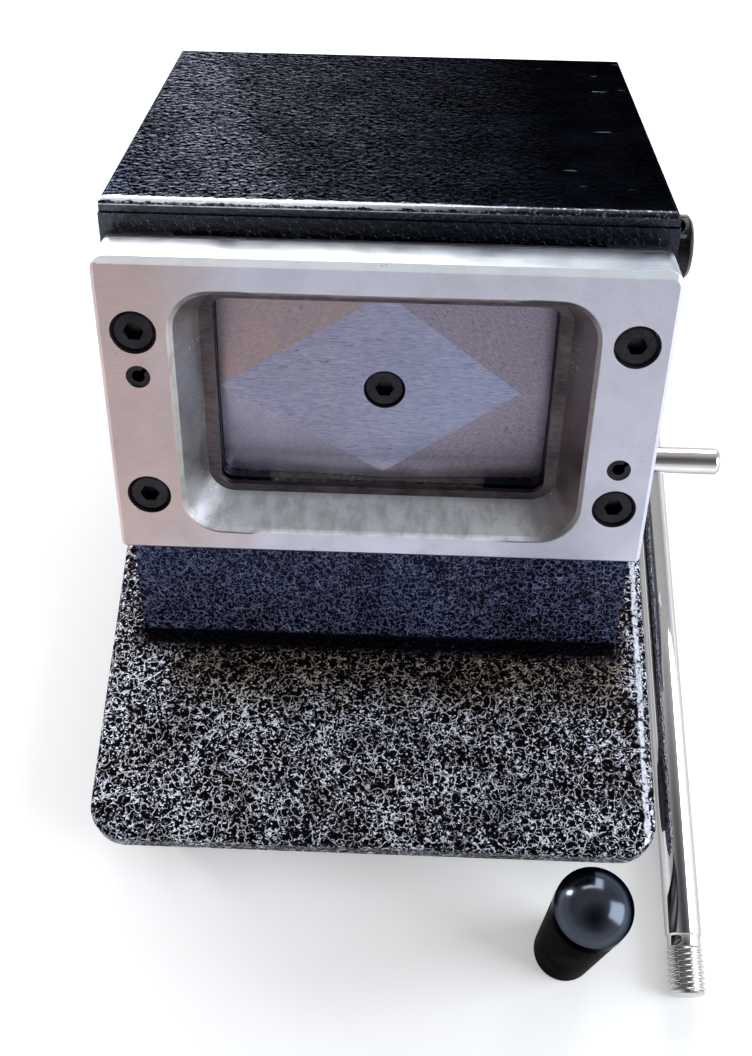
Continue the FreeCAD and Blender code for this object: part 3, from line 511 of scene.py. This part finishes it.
def behindStack(tree):
    # Painted shade: the panel's flakes are painted out behind the die stack and above it, where it lies in
    # shade
    y, z = axes(tree, leaningCoords(tree))[1:]
    bottom, under = flakes["stackBottom"]
    return product(tree, remap(tree, z, under, bottom), remap(tree, y, 20 * mm, 18 * mm))


def frontFace(tree):
    y, z = axes(tree, leaningCoords(tree))[1:]
    return product(tree, remap(tree, y, bend["front"] + 0.2 * mm, bend["front"] + 0.1 * mm),
                   remap(tree, z, flakes["coverBelow"] + 0.2 * mm, flakes["coverBelow"]))


def plainBand(tree):
    # Plain enamel with fine specks, painted greyer on the left as painted light
    at = leaningCoords(tree)
    x, y, z = axes(tree, at)
    side = remap(tree, x, *flakes["faceFrom"])
    colour = mixColours(tree, side, flakes["faceLeft"], flakes["faceRight"])
    specks = product(tree, remap(tree, noise(tree, at, 0.4 * mm, 2, 0.6), *flakes["speckFrom"]),
                     remap(tree, z, *flakes["speckAbove"]))
    # A paler grey strip is painted low in the slot, a painted highlight standing in for the lit top of the
    # sheet stop bar
    paintedBarLight = product(tree, remap(tree, z, *flakes["paintedBarLightTop"]), remap(tree, x, *flakes["paintedBarLightLeft"]),
                     remap(tree, x, *flakes["paintedBarLightRight"]),
                     remap(tree, noise(tree, at, 3 * mm, 3), 0.3, 0.5, 0.5, 1.0))
    colour = mixColours(tree, paintedBarLight, colour, flakes["paintedBarLight"])
    return mixColours(tree, specks, colour, flakes["speck"])


ripple = {
    "size": 1.65 * mm,
    "offset": (0, 0.42 * mm, 0),
    "paintedReflectionBand": (-32 * mm, 16.6 * mm, 0.29, 13 * mm, 7 * mm, 0.4),
    "worms": 2.4 * mm,
    "paintedLightFade": (-60 * mm, 44 * mm, 1.0, 0.05),
    "scratch": 1.4 * mm,
}


def coverRipples(tree):
    # Low waves in the paint, whose front slopes carry painted highlights in patches, painted fainter towards
    # the right as painted light
    at = leaningCoords(tree)
    waves = noise(tree, at, ripple["size"], 2, 0.55)
    behind = noise(tree, shifted(tree, at, ripple["offset"]), ripple["size"], 2, 0.55)
    slope = calc(tree, "SUBTRACT", waves, behind)
    crest = remap(tree, slope, 0.02, 0.11)
    worms = contours(tree, at, ripple["worms"], 0.06)
    lines = calc(tree, "ADD", product(tree, crest, 0.75), product(tree, worms, 0.35))
    patches = remap(tree, noise(tree, at, 16 * mm, 3, 0.6), 0.36, 0.62, 0.72, 1.0)
    x = axes(tree, at)[0]
    flake = product(tree, lines, patches, remap(tree, x, *ripple["paintedLightFade"]))
    # Painted reflection: one stripe from front to back is painted paler
    centre, front, skew, edge, core, gain = ripple["paintedReflectionBand"]
    line = calc(tree, "ADD", x, product(tree, calc(tree, "SUBTRACT", axes(tree, at)[1], front), skew))
    away = calc(tree, "ABSOLUTE", calc(tree, "SUBTRACT", line, centre))
    flake = product(tree, flake, remap(tree, away, edge, core, 1.0, 1.0 + gain))
    # A few short scratches near the right edge
    strokes = noise(tree, stretched(tree, at, (0.16, 1, 1), (0, 0, 38)), ripple["scratch"], 1)
    scratch = product(tree, remap(tree, strokes, 0.72, 0.74),
                      remap(tree, noise(tree, at, 9 * mm, 1), 0.57, 0.62),
                      remap(tree, x, 38 * mm, 46 * mm))
    return greatest(tree, flake, product(tree, scratch, 0.6)), waves


# The cover's front bend, in the leaning frame, where a painted highlight runs
bend = {
    "top": 50.0 * mm,
    "front": 16.6 * mm,
    "round": 1.6 * mm,
    "bright": (0.90, 0.94, 1.0),
    "matt": 0.8,
    "paintedLightFade": (-20 * mm, 34 * mm, 1.0, 0.05),
    "speckFade": (-20 * mm, 60 * mm, 1.0, 0.5),
    "upper": (0.42, 0.52),
    "lower": (0.16, 0.06),
    "behind": (1.25, 1.05),
}


def paintedBendHighlight(tree):
    # Painted highlight: one broad uneven line along the top of the bend and one thin line below it, with
    # specks, fainter to the right
    at = leaningCoords(tree)
    x, y, z = axes(tree, at)
    edge = bend["round"]
    rise = calc(tree, "DIVIDE", calc(tree, "SUBTRACT", z, bend["top"] - edge), edge)
    depth = calc(tree, "DIVIDE", calc(tree, "SUBTRACT", y, bend["front"]), edge)
    blobs = calc(tree, "SUBTRACT", noise(tree, stretched(tree, at, (0.4, 1, 1)), 1.5 * mm, 3, 0.6), 0.5)
    rough = product(tree, blobs, 1.1)
    upper = product(tree, remap(tree, calc(tree, "ADD", rise, rough), *bend["upper"]),
                    remap(tree, calc(tree, "ADD", depth, product(tree, blobs, 2.4)), *bend["behind"]))
    lower = product(tree, remap(tree, rise, *bend["lower"]), remap(tree, rise, -0.10, 0.0),
                    remap(tree, depth, 0.3, 0.2), remap(tree, blobs, -0.12, 0.0, 0.3, 0.75))
    specks = product(tree, remap(tree, noise(tree, at, 0.8 * mm, 2, 0.6), 0.56, 0.62, 0, 0.5),
                     remap(tree, rise, 0.0, 0.15), remap(tree, depth, 1.0, 0.8))
    line = product(tree, greatest(tree, upper, lower), remap(tree, x, *bend["paintedLightFade"]))
    return greatest(tree, line, product(tree, specks, remap(tree, x, *bend["speckFade"])))


# Metal finishes

metals = {
    "bright_steel": {
        "colour": (0.78, 0.74, 0.74), "other": (0.90, 0.87, 0.88), "rim": (0.22, 0.21, 0.23),
        "roughness": 0.16, "marks": 0.5 * mm, "stretch": (0.05, 1, 1), "relief": 0.004 * mm,
    },
    "inner_steel": {
        "colour": (0.42, 0.42, 0.43), "other": (0.52, 0.52, 0.54),
        "roughness": 0.34, "marks": 0.8 * mm, "stretch": (0.1, 1, 1), "relief": 0.01 * mm,
    },
    "black_oxide": {
        "colour": (0.018, 0.017, 0.020), "other": (0.040, 0.038, 0.044),
        "roughness": 0.34, "marks": 0.7 * mm, "stretch": (1, 1, 1), "relief": 0.01 * mm,
    },
    "shaft_black": {
        "colour": (0.014, 0.013, 0.015), "other": (0.032, 0.030, 0.034),
        "roughness": 0.28, "marks": 0.9 * mm, "stretch": (1, 1, 1), "relief": 0.01 * mm,
    },
    "spring_steel": {
        "colour": (0.24, 0.24, 0.26), "other": (0.34, 0.34, 0.36),
        "roughness": 0.3, "marks": 1.0 * mm, "stretch": (1, 1, 1), "relief": 0.01 * mm,
    },
    "bush_bronze": {
        "colour": (0.50, 0.33, 0.14), "other": (0.62, 0.44, 0.22),
        "roughness": 0.4, "marks": 0.5 * mm, "stretch": (1, 1, 1), "relief": 0.01 * mm,
    },
    "insert_brass": {
        "colour": (0.62, 0.45, 0.17), "other": (0.74, 0.58, 0.28),
        "roughness": 0.25, "marks": 0.5 * mm, "stretch": (1, 1, 0.1), "relief": 0.008 * mm,
    },
}


def metalFinish(name, metal):
    material, tree, shader = newFinish(name, {"Metallic": 1.0})
    at = objectCoords(tree)
    marks = noise(tree, stretched(tree, at, metal["stretch"]), metal["marks"], 3, 0.6)
    patches = noise(tree, at, 9 * mm, 3, 0.6)
    share = remap(tree, calc(tree, "ADD", product(tree, marks, 0.6), product(tree, patches, 0.6)),
                  0.45, 0.75)
    colour = mixColours(tree, share, metal["colour"], metal["other"])
    if "rim" in metal:
        # Painted reflection at the outline of polished round steel
        colour = rimmed(tree, colour, metal["rim"])
    tree.links.new(colour, shader.inputs["Base Color"])
    rough = calc(tree, "ADD", remap(tree, marks, 0.3, 0.7, -0.06, 0.08), metal["roughness"])
    tree.links.new(rough, shader.inputs["Roughness"])
    addRelief(tree, shader, marks, metal["relief"])
    return material


diePlates = {
    "inside": (0.050, 0.038, 0.045),
    "insideOther": (0.12, 0.10, 0.11),
    "outside": (0.24, 0.225, 0.27),
    "outsideOther": (0.40, 0.385, 0.44),
    "seam": (14.1 * mm, 0.16 * mm),
    "outsideFrom": 36.5 * mm,
    "roughness": 0.34,
    "marks": 0.5 * mm,
    "relief": 0.01 * mm,
}


def dieSteel():
    # Dark round the slot, and painted paler on the outer edges as painted light on the plates' top edges
    material, tree, shader = newFinish("die_steel", {"Metallic": 1.0})
    at = leaningCoords(tree)
    y, z = axes(tree, at)[1:]
    marks = noise(tree, stretched(tree, at, (0.2, 1, 1)), diePlates["marks"], 3, 0.6)
    patches = product(tree, noise(tree, at, 9 * mm, 3), 0.6)
    share = remap(tree, calc(tree, "ADD", product(tree, marks, 0.6), patches), 0.45, 0.75)
    inside = mixColours(tree, share, diePlates["inside"], diePlates["insideOther"])
    outside = mixColours(tree, share, diePlates["outside"], diePlates["outsideOther"])
    start = diePlates["outsideFrom"]
    edge = remap(tree, calc(tree, "ABSOLUTE", z), start, start + 0.2 * mm)
    # A dark seam parts the two plates
    seamAt, seamHalf = diePlates["seam"]
    away = calc(tree, "ABSOLUTE", calc(tree, "SUBTRACT", y, seamAt))
    outside = mixColours(tree, remap(tree, away, seamHalf, 0.6 * seamHalf), outside, diePlates["inside"])
    tree.links.new(mixColours(tree, edge, inside, outside), shader.inputs["Base Color"])
    tree.links.new(remap(tree, marks, 0.3, 0.7, diePlates["roughness"] - 0.06, diePlates["roughness"] + 0.08),
                   shader.inputs["Roughness"])
    addRelief(tree, shader, marks, diePlates["relief"])
    return material


dieBlock = {
    "warm": (0.515, 0.390, 0.380),
    "cool": (0.555, 0.56, 0.67),
    "sideFrom": (-56 * mm, -30 * mm),
    "sideWander": 11 * mm,
    "acrossTop": (-45 * mm, 60 * mm),
    "topLeft": (0.98, 0.98, 1.0),
    "topRight": (0.18, 0.205, 0.24),
    "chamferRight": (0.78, 0.84, 0.89),
    "chamferTo": (1.6 * mm, 1.4 * mm),
    "topFrom": 40.6 * mm,
    "backEdge": (11.9 * mm, 12.1 * mm, 0, 0.8),
    "backEdgeShadow": (0.06, 0.05, 0.06),
    "pocketLeft": (0.40, 0.40, 0.388),
    "pocketRight": (0.24, 0.17, 0.165),
    "pocketFloor": (0.95, 0.97, 1.0),
    "pocketHalf": (52.0 * mm, 34.7 * mm),
    "pocketMouth": 0.10 * mm,
    "mouthDark": (0.10, 0.08, 0.09),
    "mouthTop": (32.6 * mm, 33.4 * mm),
    "mouthDepth": (1.3 * mm, 0.9 * mm),
    "floorBelow": (-27 * mm, -30 * mm),
    "rightFrom": (38 * mm, 48 * mm),
    "nickedFrom": (41 * mm, 44 * mm),
    "nickedDepth": (5 * mm, 8 * mm),
    "nick": (0.95, 0.93, 0.92),
    "stain": (0.20, 0.19, 0.16),
    "smudge": (0.36, 0.34, 0.36),
    "line": (0.92, 0.92, 0.95),
    "scuff": (0.16, 0.14, 0.15),
    "floorMatt": 0.5,
    "chamferMatt": 0.7,
    "roughness": 0.36,
    "marks": 0.22 * mm,
    "relief": 0.010 * mm,
}


def milledAluminium():
    material, tree, shader = newFinish("milled_aluminium", {"Metallic": 1.0})
    at = leaningCoords(tree)
    x, y, z = axes(tree, at)
    smudge = noise(tree, at, 14 * mm, 4, 0.65, 0.4)
    # Painted reflection: warm on the left and cool on the right, with an uneven border
    reach = dieBlock["sideWander"]
    wander = calc(tree, "ADD", x, remap(tree, noise(tree, at, 30 * mm, 3, 0.5), 0.3, 0.7, -reach, reach))
    face = mixColours(tree, remap(tree, wander, *dieBlock["sideFrom"]), dieBlock["warm"], dieBlock["cool"])
    # Painted light: the top and its chamfer are painted near white on the left and darker towards the right
    along = remap(tree, x, *dieBlock["acrossTop"])
    top = mixColours(tree, along, dieBlock["topLeft"], dieBlock["topRight"])
    bevelled = mixColours(tree, along, dieBlock["topLeft"], dieBlock["chamferRight"])
    top = mixColours(tree, remap(tree, y, *dieBlock["chamferTo"]), top, bevelled)
    # Painted shadow: a dark line along the top's back edge
    top = mixColours(tree, remap(tree, y, *dieBlock["backEdge"]), top, dieBlock["backEdgeShadow"])
    face = mixColours(tree, remap(tree, z, dieBlock["topFrom"], dieBlock["topFrom"] + 0.1 * mm), face, top)
    # Painted shade: inside the pocket the walls are painted darker, greenish on the left and brown on the
    # right, with a pale floor
    halfX, halfZ = dieBlock["pocketHalf"]
    inX = remap(tree, calc(tree, "ABSOLUTE", x), halfX + 0.5 * mm, halfX)
    inZ = remap(tree, calc(tree, "ABSOLUTE", z), halfZ + 0.5 * mm, halfZ)
    deep = remap(tree, y, dieBlock["pocketMouth"], dieBlock["pocketMouth"] + 0.2 * mm)
    pocket = product(tree, inX, inZ, deep)
    low = remap(tree, z, *dieBlock["floorBelow"])
    right = remap(tree, x, *dieBlock["rightFrom"])
    walls = mixColours(tree, low, dieBlock["pocketLeft"], dieBlock["pocketFloor"])
    walls = mixColours(tree, right, walls, dieBlock["pocketRight"])
    # The mouth's upper and right edges look away from the light
    shaded = greatest(tree, remap(tree, z, *dieBlock["mouthTop"]),
                      product(tree, right, remap(tree, y, *dieBlock["mouthDepth"]), 0.8))
    walls = mixColours(tree, shaded, walls, dieBlock["mouthDark"])
    stains = remap(tree, noise(tree, stretched(tree, at, (1, 0.4, 1)), 5 * mm, 4, 0.7), 0.42, 0.66)
    walls = mixColours(tree, product(tree, stains, 0.45), walls, dieBlock["stain"])
    inner = product(tree, remap(tree, calc(tree, "ABSOLUTE", x), *dieBlock["nickedFrom"]),
                    remap(tree, y, *dieBlock["nickedDepth"]))
    nicks = product(tree, remap(tree, noise(tree, at, 0.9 * mm, 2, 0.6), 0.63, 0.67),
                    remap(tree, noise(tree, at, 7 * mm, 1), 0.50, 0.56), inner)
    walls = mixColours(tree, nicks, walls, dieBlock["nick"])
    colour = mixColours(tree, pocket, face, walls)
    colour = mixColours(tree, remap(tree, smudge, 0.42, 0.72, 0, 0.30), colour, dieBlock["smudge"])
    lines = noise(tree, stretched(tree, at, (0.05, 1, 1)), dieBlock["marks"], 3, 0.6)
    colour = mixColours(tree, remap(tree, lines, 0.35, 0.7, 0.0, 0.12), colour, dieBlock["line"])
    # Scuffs come in clusters of short dark strokes
    cluster = remap(tree, noise(tree, at, 12 * mm, 2, 0.6), 0.58, 0.68)
    strokes = noise(tree, stretched(tree, at, (0.5, 1, 1.6), (0, 35, 0)), 0.6 * mm, 2, 0.7)
    scuffs = product(tree, cluster, remap(tree, strokes, 0.60, 0.68))
    colour = mixColours(tree, product(tree, scuffs, 0.75), colour, dieBlock["scuff"])
    tree.links.new(colour, shader.inputs["Base Color"])
    rough = calc(tree, "ADD", remap(tree, smudge, 0.3, 0.7, -0.08, 0.10), dieBlock["roughness"])
    tree.links.new(rough, shader.inputs["Roughness"])
    # The pocket's floor and the top chamfer are duller than the rest
    floorShare = product(tree, pocket, low, remainder(tree, right))
    chamfer = product(tree, remap(tree, z, dieBlock["topFrom"], dieBlock["topFrom"] + 0.2 * mm),
                      remap(tree, y, *dieBlock["chamferTo"]))
    matt = greatest(tree, product(tree, floorShare, dieBlock["floorMatt"]),
                    product(tree, chamfer, dieBlock["chamferMatt"]))
    tree.links.new(remainder(tree, matt), shader.inputs["Metallic"])
    addRelief(tree, shader, calc(tree, "SUBTRACT", lines, scuffs), dieBlock["relief"])
    return material


punch = {
    "half": (42.75 * mm, 26.95 * mm),
    "right": 0.82,
    "bottom": 0.93,
    "diamond": (0.235, 0.235, 0.355),
    "diamondRight": (0.245, 0.272, 0.425),
    "facet": (0.335, 0.235, 0.240),
    "facetRight": (0.215, 0.180, 0.250),
    "cornerCool": (0.265, 0.245, 0.340),
    "diamondFrom": (-15 * mm, 20 * mm),
    "middle": 4 * mm,
    "scratch": (0.56, 0.54, 0.61),
    "pit": (0.04, 0.028, 0.035),
    "lowEdge": (-20.5 * mm, -27 * mm),
    "paintedLowLight": (3.0, 2.9, 2.7),
    "roughness": 0.40,
    "relief": 0.016 * mm,
}


def punchSteel():
    material, tree, shader = newFinish("punch_steel", {"Metallic": 1.0})
    at = leaningCoords(tree)
    x, y, z = axes(tree, at)
    halfX, halfZ = punch["half"]
    acrossShare = greatest(tree, calc(tree, "DIVIDE", x, halfX * punch["right"]),
                           calc(tree, "DIVIDE", x, -halfX))
    upShare = greatest(tree, calc(tree, "DIVIDE", z, halfZ),
                       calc(tree, "DIVIDE", z, -halfZ * punch["bottom"]))
    facet = remap(tree, calc(tree, "ADD", acrossShare, upShare), 0.995, 1.005)
    # Each facet was ground along its own edge of the diamond
    width = calc(tree, "ABSOLUTE", x)
    height = calc(tree, "ABSOLUTE", z)
    slope = math.atan2(halfZ, halfX)
    along = calc(tree, "SUBTRACT", product(tree, height, math.sin(slope)),
                 product(tree, width, math.cos(slope)))
    across = calc(tree, "ADD", product(tree, height, math.cos(slope)),
                  product(tree, width, math.sin(slope)))
    quarter = calc(tree, "ADD", product(tree, calc(tree, "SIGN", x), 0.1),
                   product(tree, calc(tree, "SIGN", z), 0.23))
    grain = noise(tree, joined(tree, product(tree, along, 0.13), across, quarter), 0.22 * mm, 3, 0.65)
    flat = noise(tree, stretched(tree, at, (0.10, 1, 1)), 0.22 * mm, 3, 0.6)
    lines = calc(tree, "ADD", product(tree, grain, facet),
                 product(tree, flat, remainder(tree, facet)))
    patches = noise(tree, at, 16 * mm, 3, 0.6)
    middle = punch["middle"]
    lowLeft = product(tree, remap(tree, x, middle, -middle), remap(tree, z, middle, -middle))
    cornerShare = calc(tree, "ADD", lowLeft, remap(tree, patches, 0.35, 0.7, -0.1, 0.4), True)
    # The diamond and the facets differ in colour partly by their own grinding and partly as painted
    # reflection, cooler towards the right
    facets = mixColours(tree, remap(tree, x, -middle, middle), punch["facet"], punch["facetRight"])
    corner = mixColours(tree, cornerShare, facets, punch["cornerCool"])
    diamond = mixColours(tree, remap(tree, x, *punch["diamondFrom"]), punch["diamond"], punch["diamondRight"])
    colour = mixColours(tree, facet, diamond, corner)
    colour = mixColours(tree, remap(tree, lines, 0.40, 0.70, 0.0, 0.45), colour, punch["scratch"])
    # Dark nicks lie along the grinding marks, and rust pits gather in patches
    nicks = product(tree, remap(tree, lines, 0.38, 0.30), remap(tree, noise(tree, at, 3 * mm, 2), 0.46, 0.56))
    colour = mixColours(tree, product(tree, nicks, 0.8), colour, punch["pit"])
    pits = remap(tree, cells(tree, at, 1.5 * mm), 0.16, 0.08)
    pitted = remap(tree, calc(tree, "ADD", noise(tree, at, 7 * mm, 2), product(tree, x, 3.0)), 0.58, 0.70)
    colour = mixColours(tree, product(tree, pits, pitted), colour, punch["pit"])
    # Painted light: the low edge, which mirrors the dark slot, is painted brighter
    colour = mixColours(tree, remap(tree, z, *punch["lowEdge"]), colour, punch["paintedLowLight"], "MULTIPLY")
    tree.links.new(colour, shader.inputs["Base Color"])
    rough = calc(tree, "ADD", remap(tree, patches, 0.3, 0.7, -0.07, 0.08), punch["roughness"])
    tree.links.new(rough, shader.inputs["Roughness"])
    addRelief(tree, shader, lines, punch["relief"])
    return material


chrome = {
    "bright": (0.80, 0.80, 0.81),
    "hazy": (0.74, 0.73, 0.73),
    "rim": (0.40, 0.40, 0.41),
    "thread": (0.55, 0.54, 0.54),
    "nearThread": (-144.4 * mm, -144.9 * mm),
    "farThread": (59.4 * mm, 59.9 * mm),
    "polish": (0.035, 0.10),
    "threadRough": 0.16,
    "relief": 0.0015 * mm,
}


def rodChrome():
    material, tree, shader = newFinish("rod_chrome", {"Metallic": 1.0})
    at = objectCoords(tree)
    lines = noise(tree, stretched(tree, at, (1, 0.02, 1)), 0.35 * mm, 2, 0.5)
    haze = noise(tree, at, 11 * mm, 3, 0.6)
    colour = mixColours(tree, remap(tree, haze, 0.35, 0.7), chrome["bright"], chrome["hazy"])
    # The threaded ends are duller
    y = axes(tree, at)[1]
    dull = greatest(tree, remap(tree, y, *chrome["nearThread"]), remap(tree, y, *chrome["farThread"]))
    # The smooth middle takes the painted reflection at its outline
    colour = mixColours(tree, dull, rimmed(tree, colour, chrome["rim"]), chrome["thread"])
    tree.links.new(colour, shader.inputs["Base Color"])
    polish = remap(tree, haze, 0.3, 0.75, *chrome["polish"])
    rough = calc(tree, "ADD", polish, product(tree, dull, chrome["threadRough"]))
    tree.links.new(rough, shader.inputs["Roughness"])
    addRelief(tree, shader, lines, chrome["relief"])
    return material


rubber = {
    "dark": (0.014, 0.014, 0.014),
    "dusty": (0.032, 0.031, 0.030),
    "roughness": (0.62, 0.80),
    "grain": 0.6 * mm,
    "relief": 0.03 * mm,
}


def footRubber():
    material, tree, shader = newFinish("foot_rubber", {"Specular IOR Level": 0.3})
    at = objectCoords(tree)
    grain = noise(tree, at, rubber["grain"], 3, 0.6)
    dust = noise(tree, at, 6 * mm, 3, 0.6)
    colour = mixColours(tree, remap(tree, dust, 0.4, 0.7), rubber["dark"], rubber["dusty"])
    tree.links.new(colour, shader.inputs["Base Color"])
    tree.links.new(remap(tree, grain, 0.3, 0.7, *rubber["roughness"]), shader.inputs["Roughness"])
    addRelief(tree, shader, grain, rubber["relief"])
    return material


grips = {
    "grip_satin": {"dark": (0.043, 0.038, 0.042), "light": (0.060, 0.053, 0.058), "roughness": 0.38,
                   "grain": 0.45 * mm, "relief": 0.010 * mm},
    "grip_gloss": {"dark": (0.056, 0.065, 0.083), "light": (0.068, 0.079, 0.099), "roughness": 0.17,
                   "grain": 3 * mm, "relief": 0.004 * mm},
}


def gripFinish(name, grip):
    material, tree, shader = newFinish(name, {"Metallic": 1.0, "Specular IOR Level": 0.0,
                                              "Specular Tint": (0, 0, 0, 1)})
    at = objectCoords(tree)
    grain = noise(tree, at, grip["grain"], 3, 0.6)
    rub = noise(tree, at, 8 * mm, 4, 0.65)
    tree.links.new(mixColours(tree, remap(tree, rub, 0.4, 0.65), grip["dark"], grip["light"]),
                   shader.inputs["Base Color"])
    rough = calc(tree, "ADD", remap(tree, rub, 0.3, 0.7, -0.04, 0.06), grip["roughness"])
    tree.links.new(rough, shader.inputs["Roughness"])
    addRelief(tree, shader, grain, grip["relief"])
    return material


addCamera()
for lampName, lampSettings in lamps.items():
    addLamp(lampName, lampSettings)
addFloor()
addSky()
print("camera, lamps and floor set")

finishes = {name: enamelFinish(name, enamel) for name, enamel in enamels.items()}
finishes.update({name: metalFinish(name, metal) for name, metal in metals.items()})
finishes.update({name: gripFinish(name, grip) for name, grip in grips.items()})
finishes["die_steel"] = dieSteel()
finishes["milled_aluminium"] = milledAluminium()
finishes["punch_steel"] = punchSteel()
finishes["rod_chrome"] = rodChrome()
finishes["foot_rubber"] = footRubber()
print("finishes made:", len(finishes))


# Pieces

dressing = {
    "join": 0.001 * mm,
    "flat": 0.3,
    "sharp": 32,
    "steps": 2,
    "edges": {
        "die_block": 0.35 * mm, "top_cover": 0.08 * mm, "front_panel": 0.08 * mm,
        "side_panel_left": 0.3 * mm, "side_panel_right": 0.3 * mm, "rear_panel": 0.3 * mm,
        "punch": 0.06 * mm, "die_plate": 0.12 * mm, "slot_spacer": 0.12 * mm, "sheet_stop_bar": 0.12 * mm,
        "stop_pin": 0.9 * mm,
    },
}


def addPiece(name, bm, slotName, body, sharp=dressing["sharp"]):
    mesh = bpy.data.meshes.new(name)
    bm.to_mesh(mesh)
    bm.free()
    mesh.shade_smooth()
    mesh.set_sharp_from_angle(angle=math.radians(sharp))
    mesh.materials.append(finishes[slotName])
    piece = bpy.data.objects.new(name, mesh)
    bpy.context.scene.collection.objects.link(piece)
    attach(piece, body)
    return piece


def keepFlatFaces(piece):
    weighted = piece.modifiers.new("flatFaces", "WEIGHTED_NORMAL")
    weighted.keep_sharp = True


def dressedCopy(node):
    # The node's own shape as one skin, so that round faces shade smoothly and edges catch light
    bm = bmesh.new()
    bm.from_mesh(frame["nodes"][node].data)
    bmesh.ops.remove_doubles(bm, verts=bm.verts, dist=dressing["join"])
    bmesh.ops.dissolve_limit(bm, angle_limit=math.radians(dressing["flat"]), verts=bm.verts, edges=bm.edges,
                             use_dissolve_boundaries=False, delimit={"NORMAL"})
    piece = addPiece(node + "_dressed", bm, slotOf[node], bodyOf[node])
    width = dressing["edges"].get(node, 0)
    if width:
        edge = piece.modifiers.new("edges", "BEVEL")
        edge.width = width
        edge.segments = dressing["steps"]
        edge.limit_method = "ANGLE"
        edge.angle_limit = math.radians(dressing["sharp"])
    keepFlatFaces(piece)
    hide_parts(node)


for node, holder in frame["nodes"].items():
    for place in holder.material_slots:
        place.material = finishes[slotOf[node]]
    if node != "lever_rod":
        dressedCopy(node)
print("nodes finished and dressed:", len(frame["nodes"]))


leverRod = {
    "start": (87.7 * mm, -157.5 * mm, -11 * mm),
    "yaw": 0.4,
    "length": 230 * mm,
    "radius": 5 * mm,
    "neckRadius": 4.6 * mm,
    "pitch": 1.5 * mm,
    "threadDepth": 0.6 * mm,
    "threadFrom": 0.6 * mm,
    "threadTo": 12.6 * mm,
    "neckTo": 15.6 * mm,
    "farFrom": 217.4 * mm,
    "ringsPerPitch": 8,
    "turns": 48,
    "sharp": 40,
}


def spunPiece(profile, steps):
    # Spins a profile of (radius, height) points round the Z axis
    bm = bmesh.new()
    line = [bm.verts.new((radius, 0, height)) for radius, height in profile]
    edges = [bm.edges.new(pair) for pair in zip(line, line[1:])]
    bmesh.ops.spin(bm, geom=line + edges, cent=(0, 0, 0), axis=(0, 0, 1), angle=2 * math.pi, steps=steps,
                   use_merge=True)
    bmesh.ops.remove_doubles(bm, verts=bm.verts, dist=dressing["join"])
    bmesh.ops.recalc_face_normals(bm, faces=bm.faces)
    return bm


def threadHeight(share):
    # A rounded ridge: crest and root are flattened
    wave = 0.5 + 0.5 * math.cos(2 * math.pi * share)
    return min(1.0, max(0.0, 1.25 * wave - 0.125))


def addLeverRod():
    rod = leverRod
    radius, depth, step = rod["radius"], rod["threadDepth"], rod["pitch"] / rod["ringsPerPitch"]
    nearRings = round((rod["threadTo"] - rod["threadFrom"]) / step)
    farRings = round((rod["length"] - rod["threadFrom"] - rod["farFrom"]) / step)
    profile = [(0, 0), (radius - depth, 0), (radius - 0.3 * depth, rod["threadFrom"])]
    profile += [(radius, rod["threadFrom"] + step * ring) for ring in range(1, nearRings)]
    profile += [(rod["neckRadius"], rod["threadTo"] + 0.2 * mm),
                (rod["neckRadius"], rod["neckTo"] - 0.2 * mm),
                (radius - 0.2 * mm, rod["neckTo"]), (radius, rod["neckTo"] + 0.3 * mm),
                (radius, rod["farFrom"] - 0.3 * mm)]
    profile += [(radius, rod["farFrom"] + step * ring) for ring in range(farRings)]
    profile += [(radius - depth, rod["length"]), (0, rod["length"])]
    bm = spunPiece(profile, rod["turns"])
    for vert in bm.verts:
        height = vert.co.z
        near = rod["threadFrom"] + 0.5 * step < height < rod["threadTo"] - 0.5 * step
        far = rod["farFrom"] - 0.5 * step < height < rod["length"] - rod["threadFrom"]
        if near or far:
            share = height / rod["pitch"] - math.atan2(vert.co.y, vert.co.x) / (2 * math.pi)
            reach = radius - depth * (1 - threadHeight(share))
            vert.co.xy = vert.co.xy.normalized() * reach
    turn = Matrix.Rotation(math.radians(rod["yaw"]), 4, "Z") @ Matrix.Rotation(math.radians(-90), 4, "X")
    bmesh.ops.transform(bm, matrix=Matrix.Translation(rod["start"]) @ turn, verts=bm.verts)
    piece = addPiece("lever_rod_threaded", bm, "rod_chrome", bodyOf["lever_rod"], rod["sharp"])
    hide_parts("lever_rod")


addLeverRod()
print("lever rod made")

bpy.context.scene.view_settings.view_transform = "Standard"
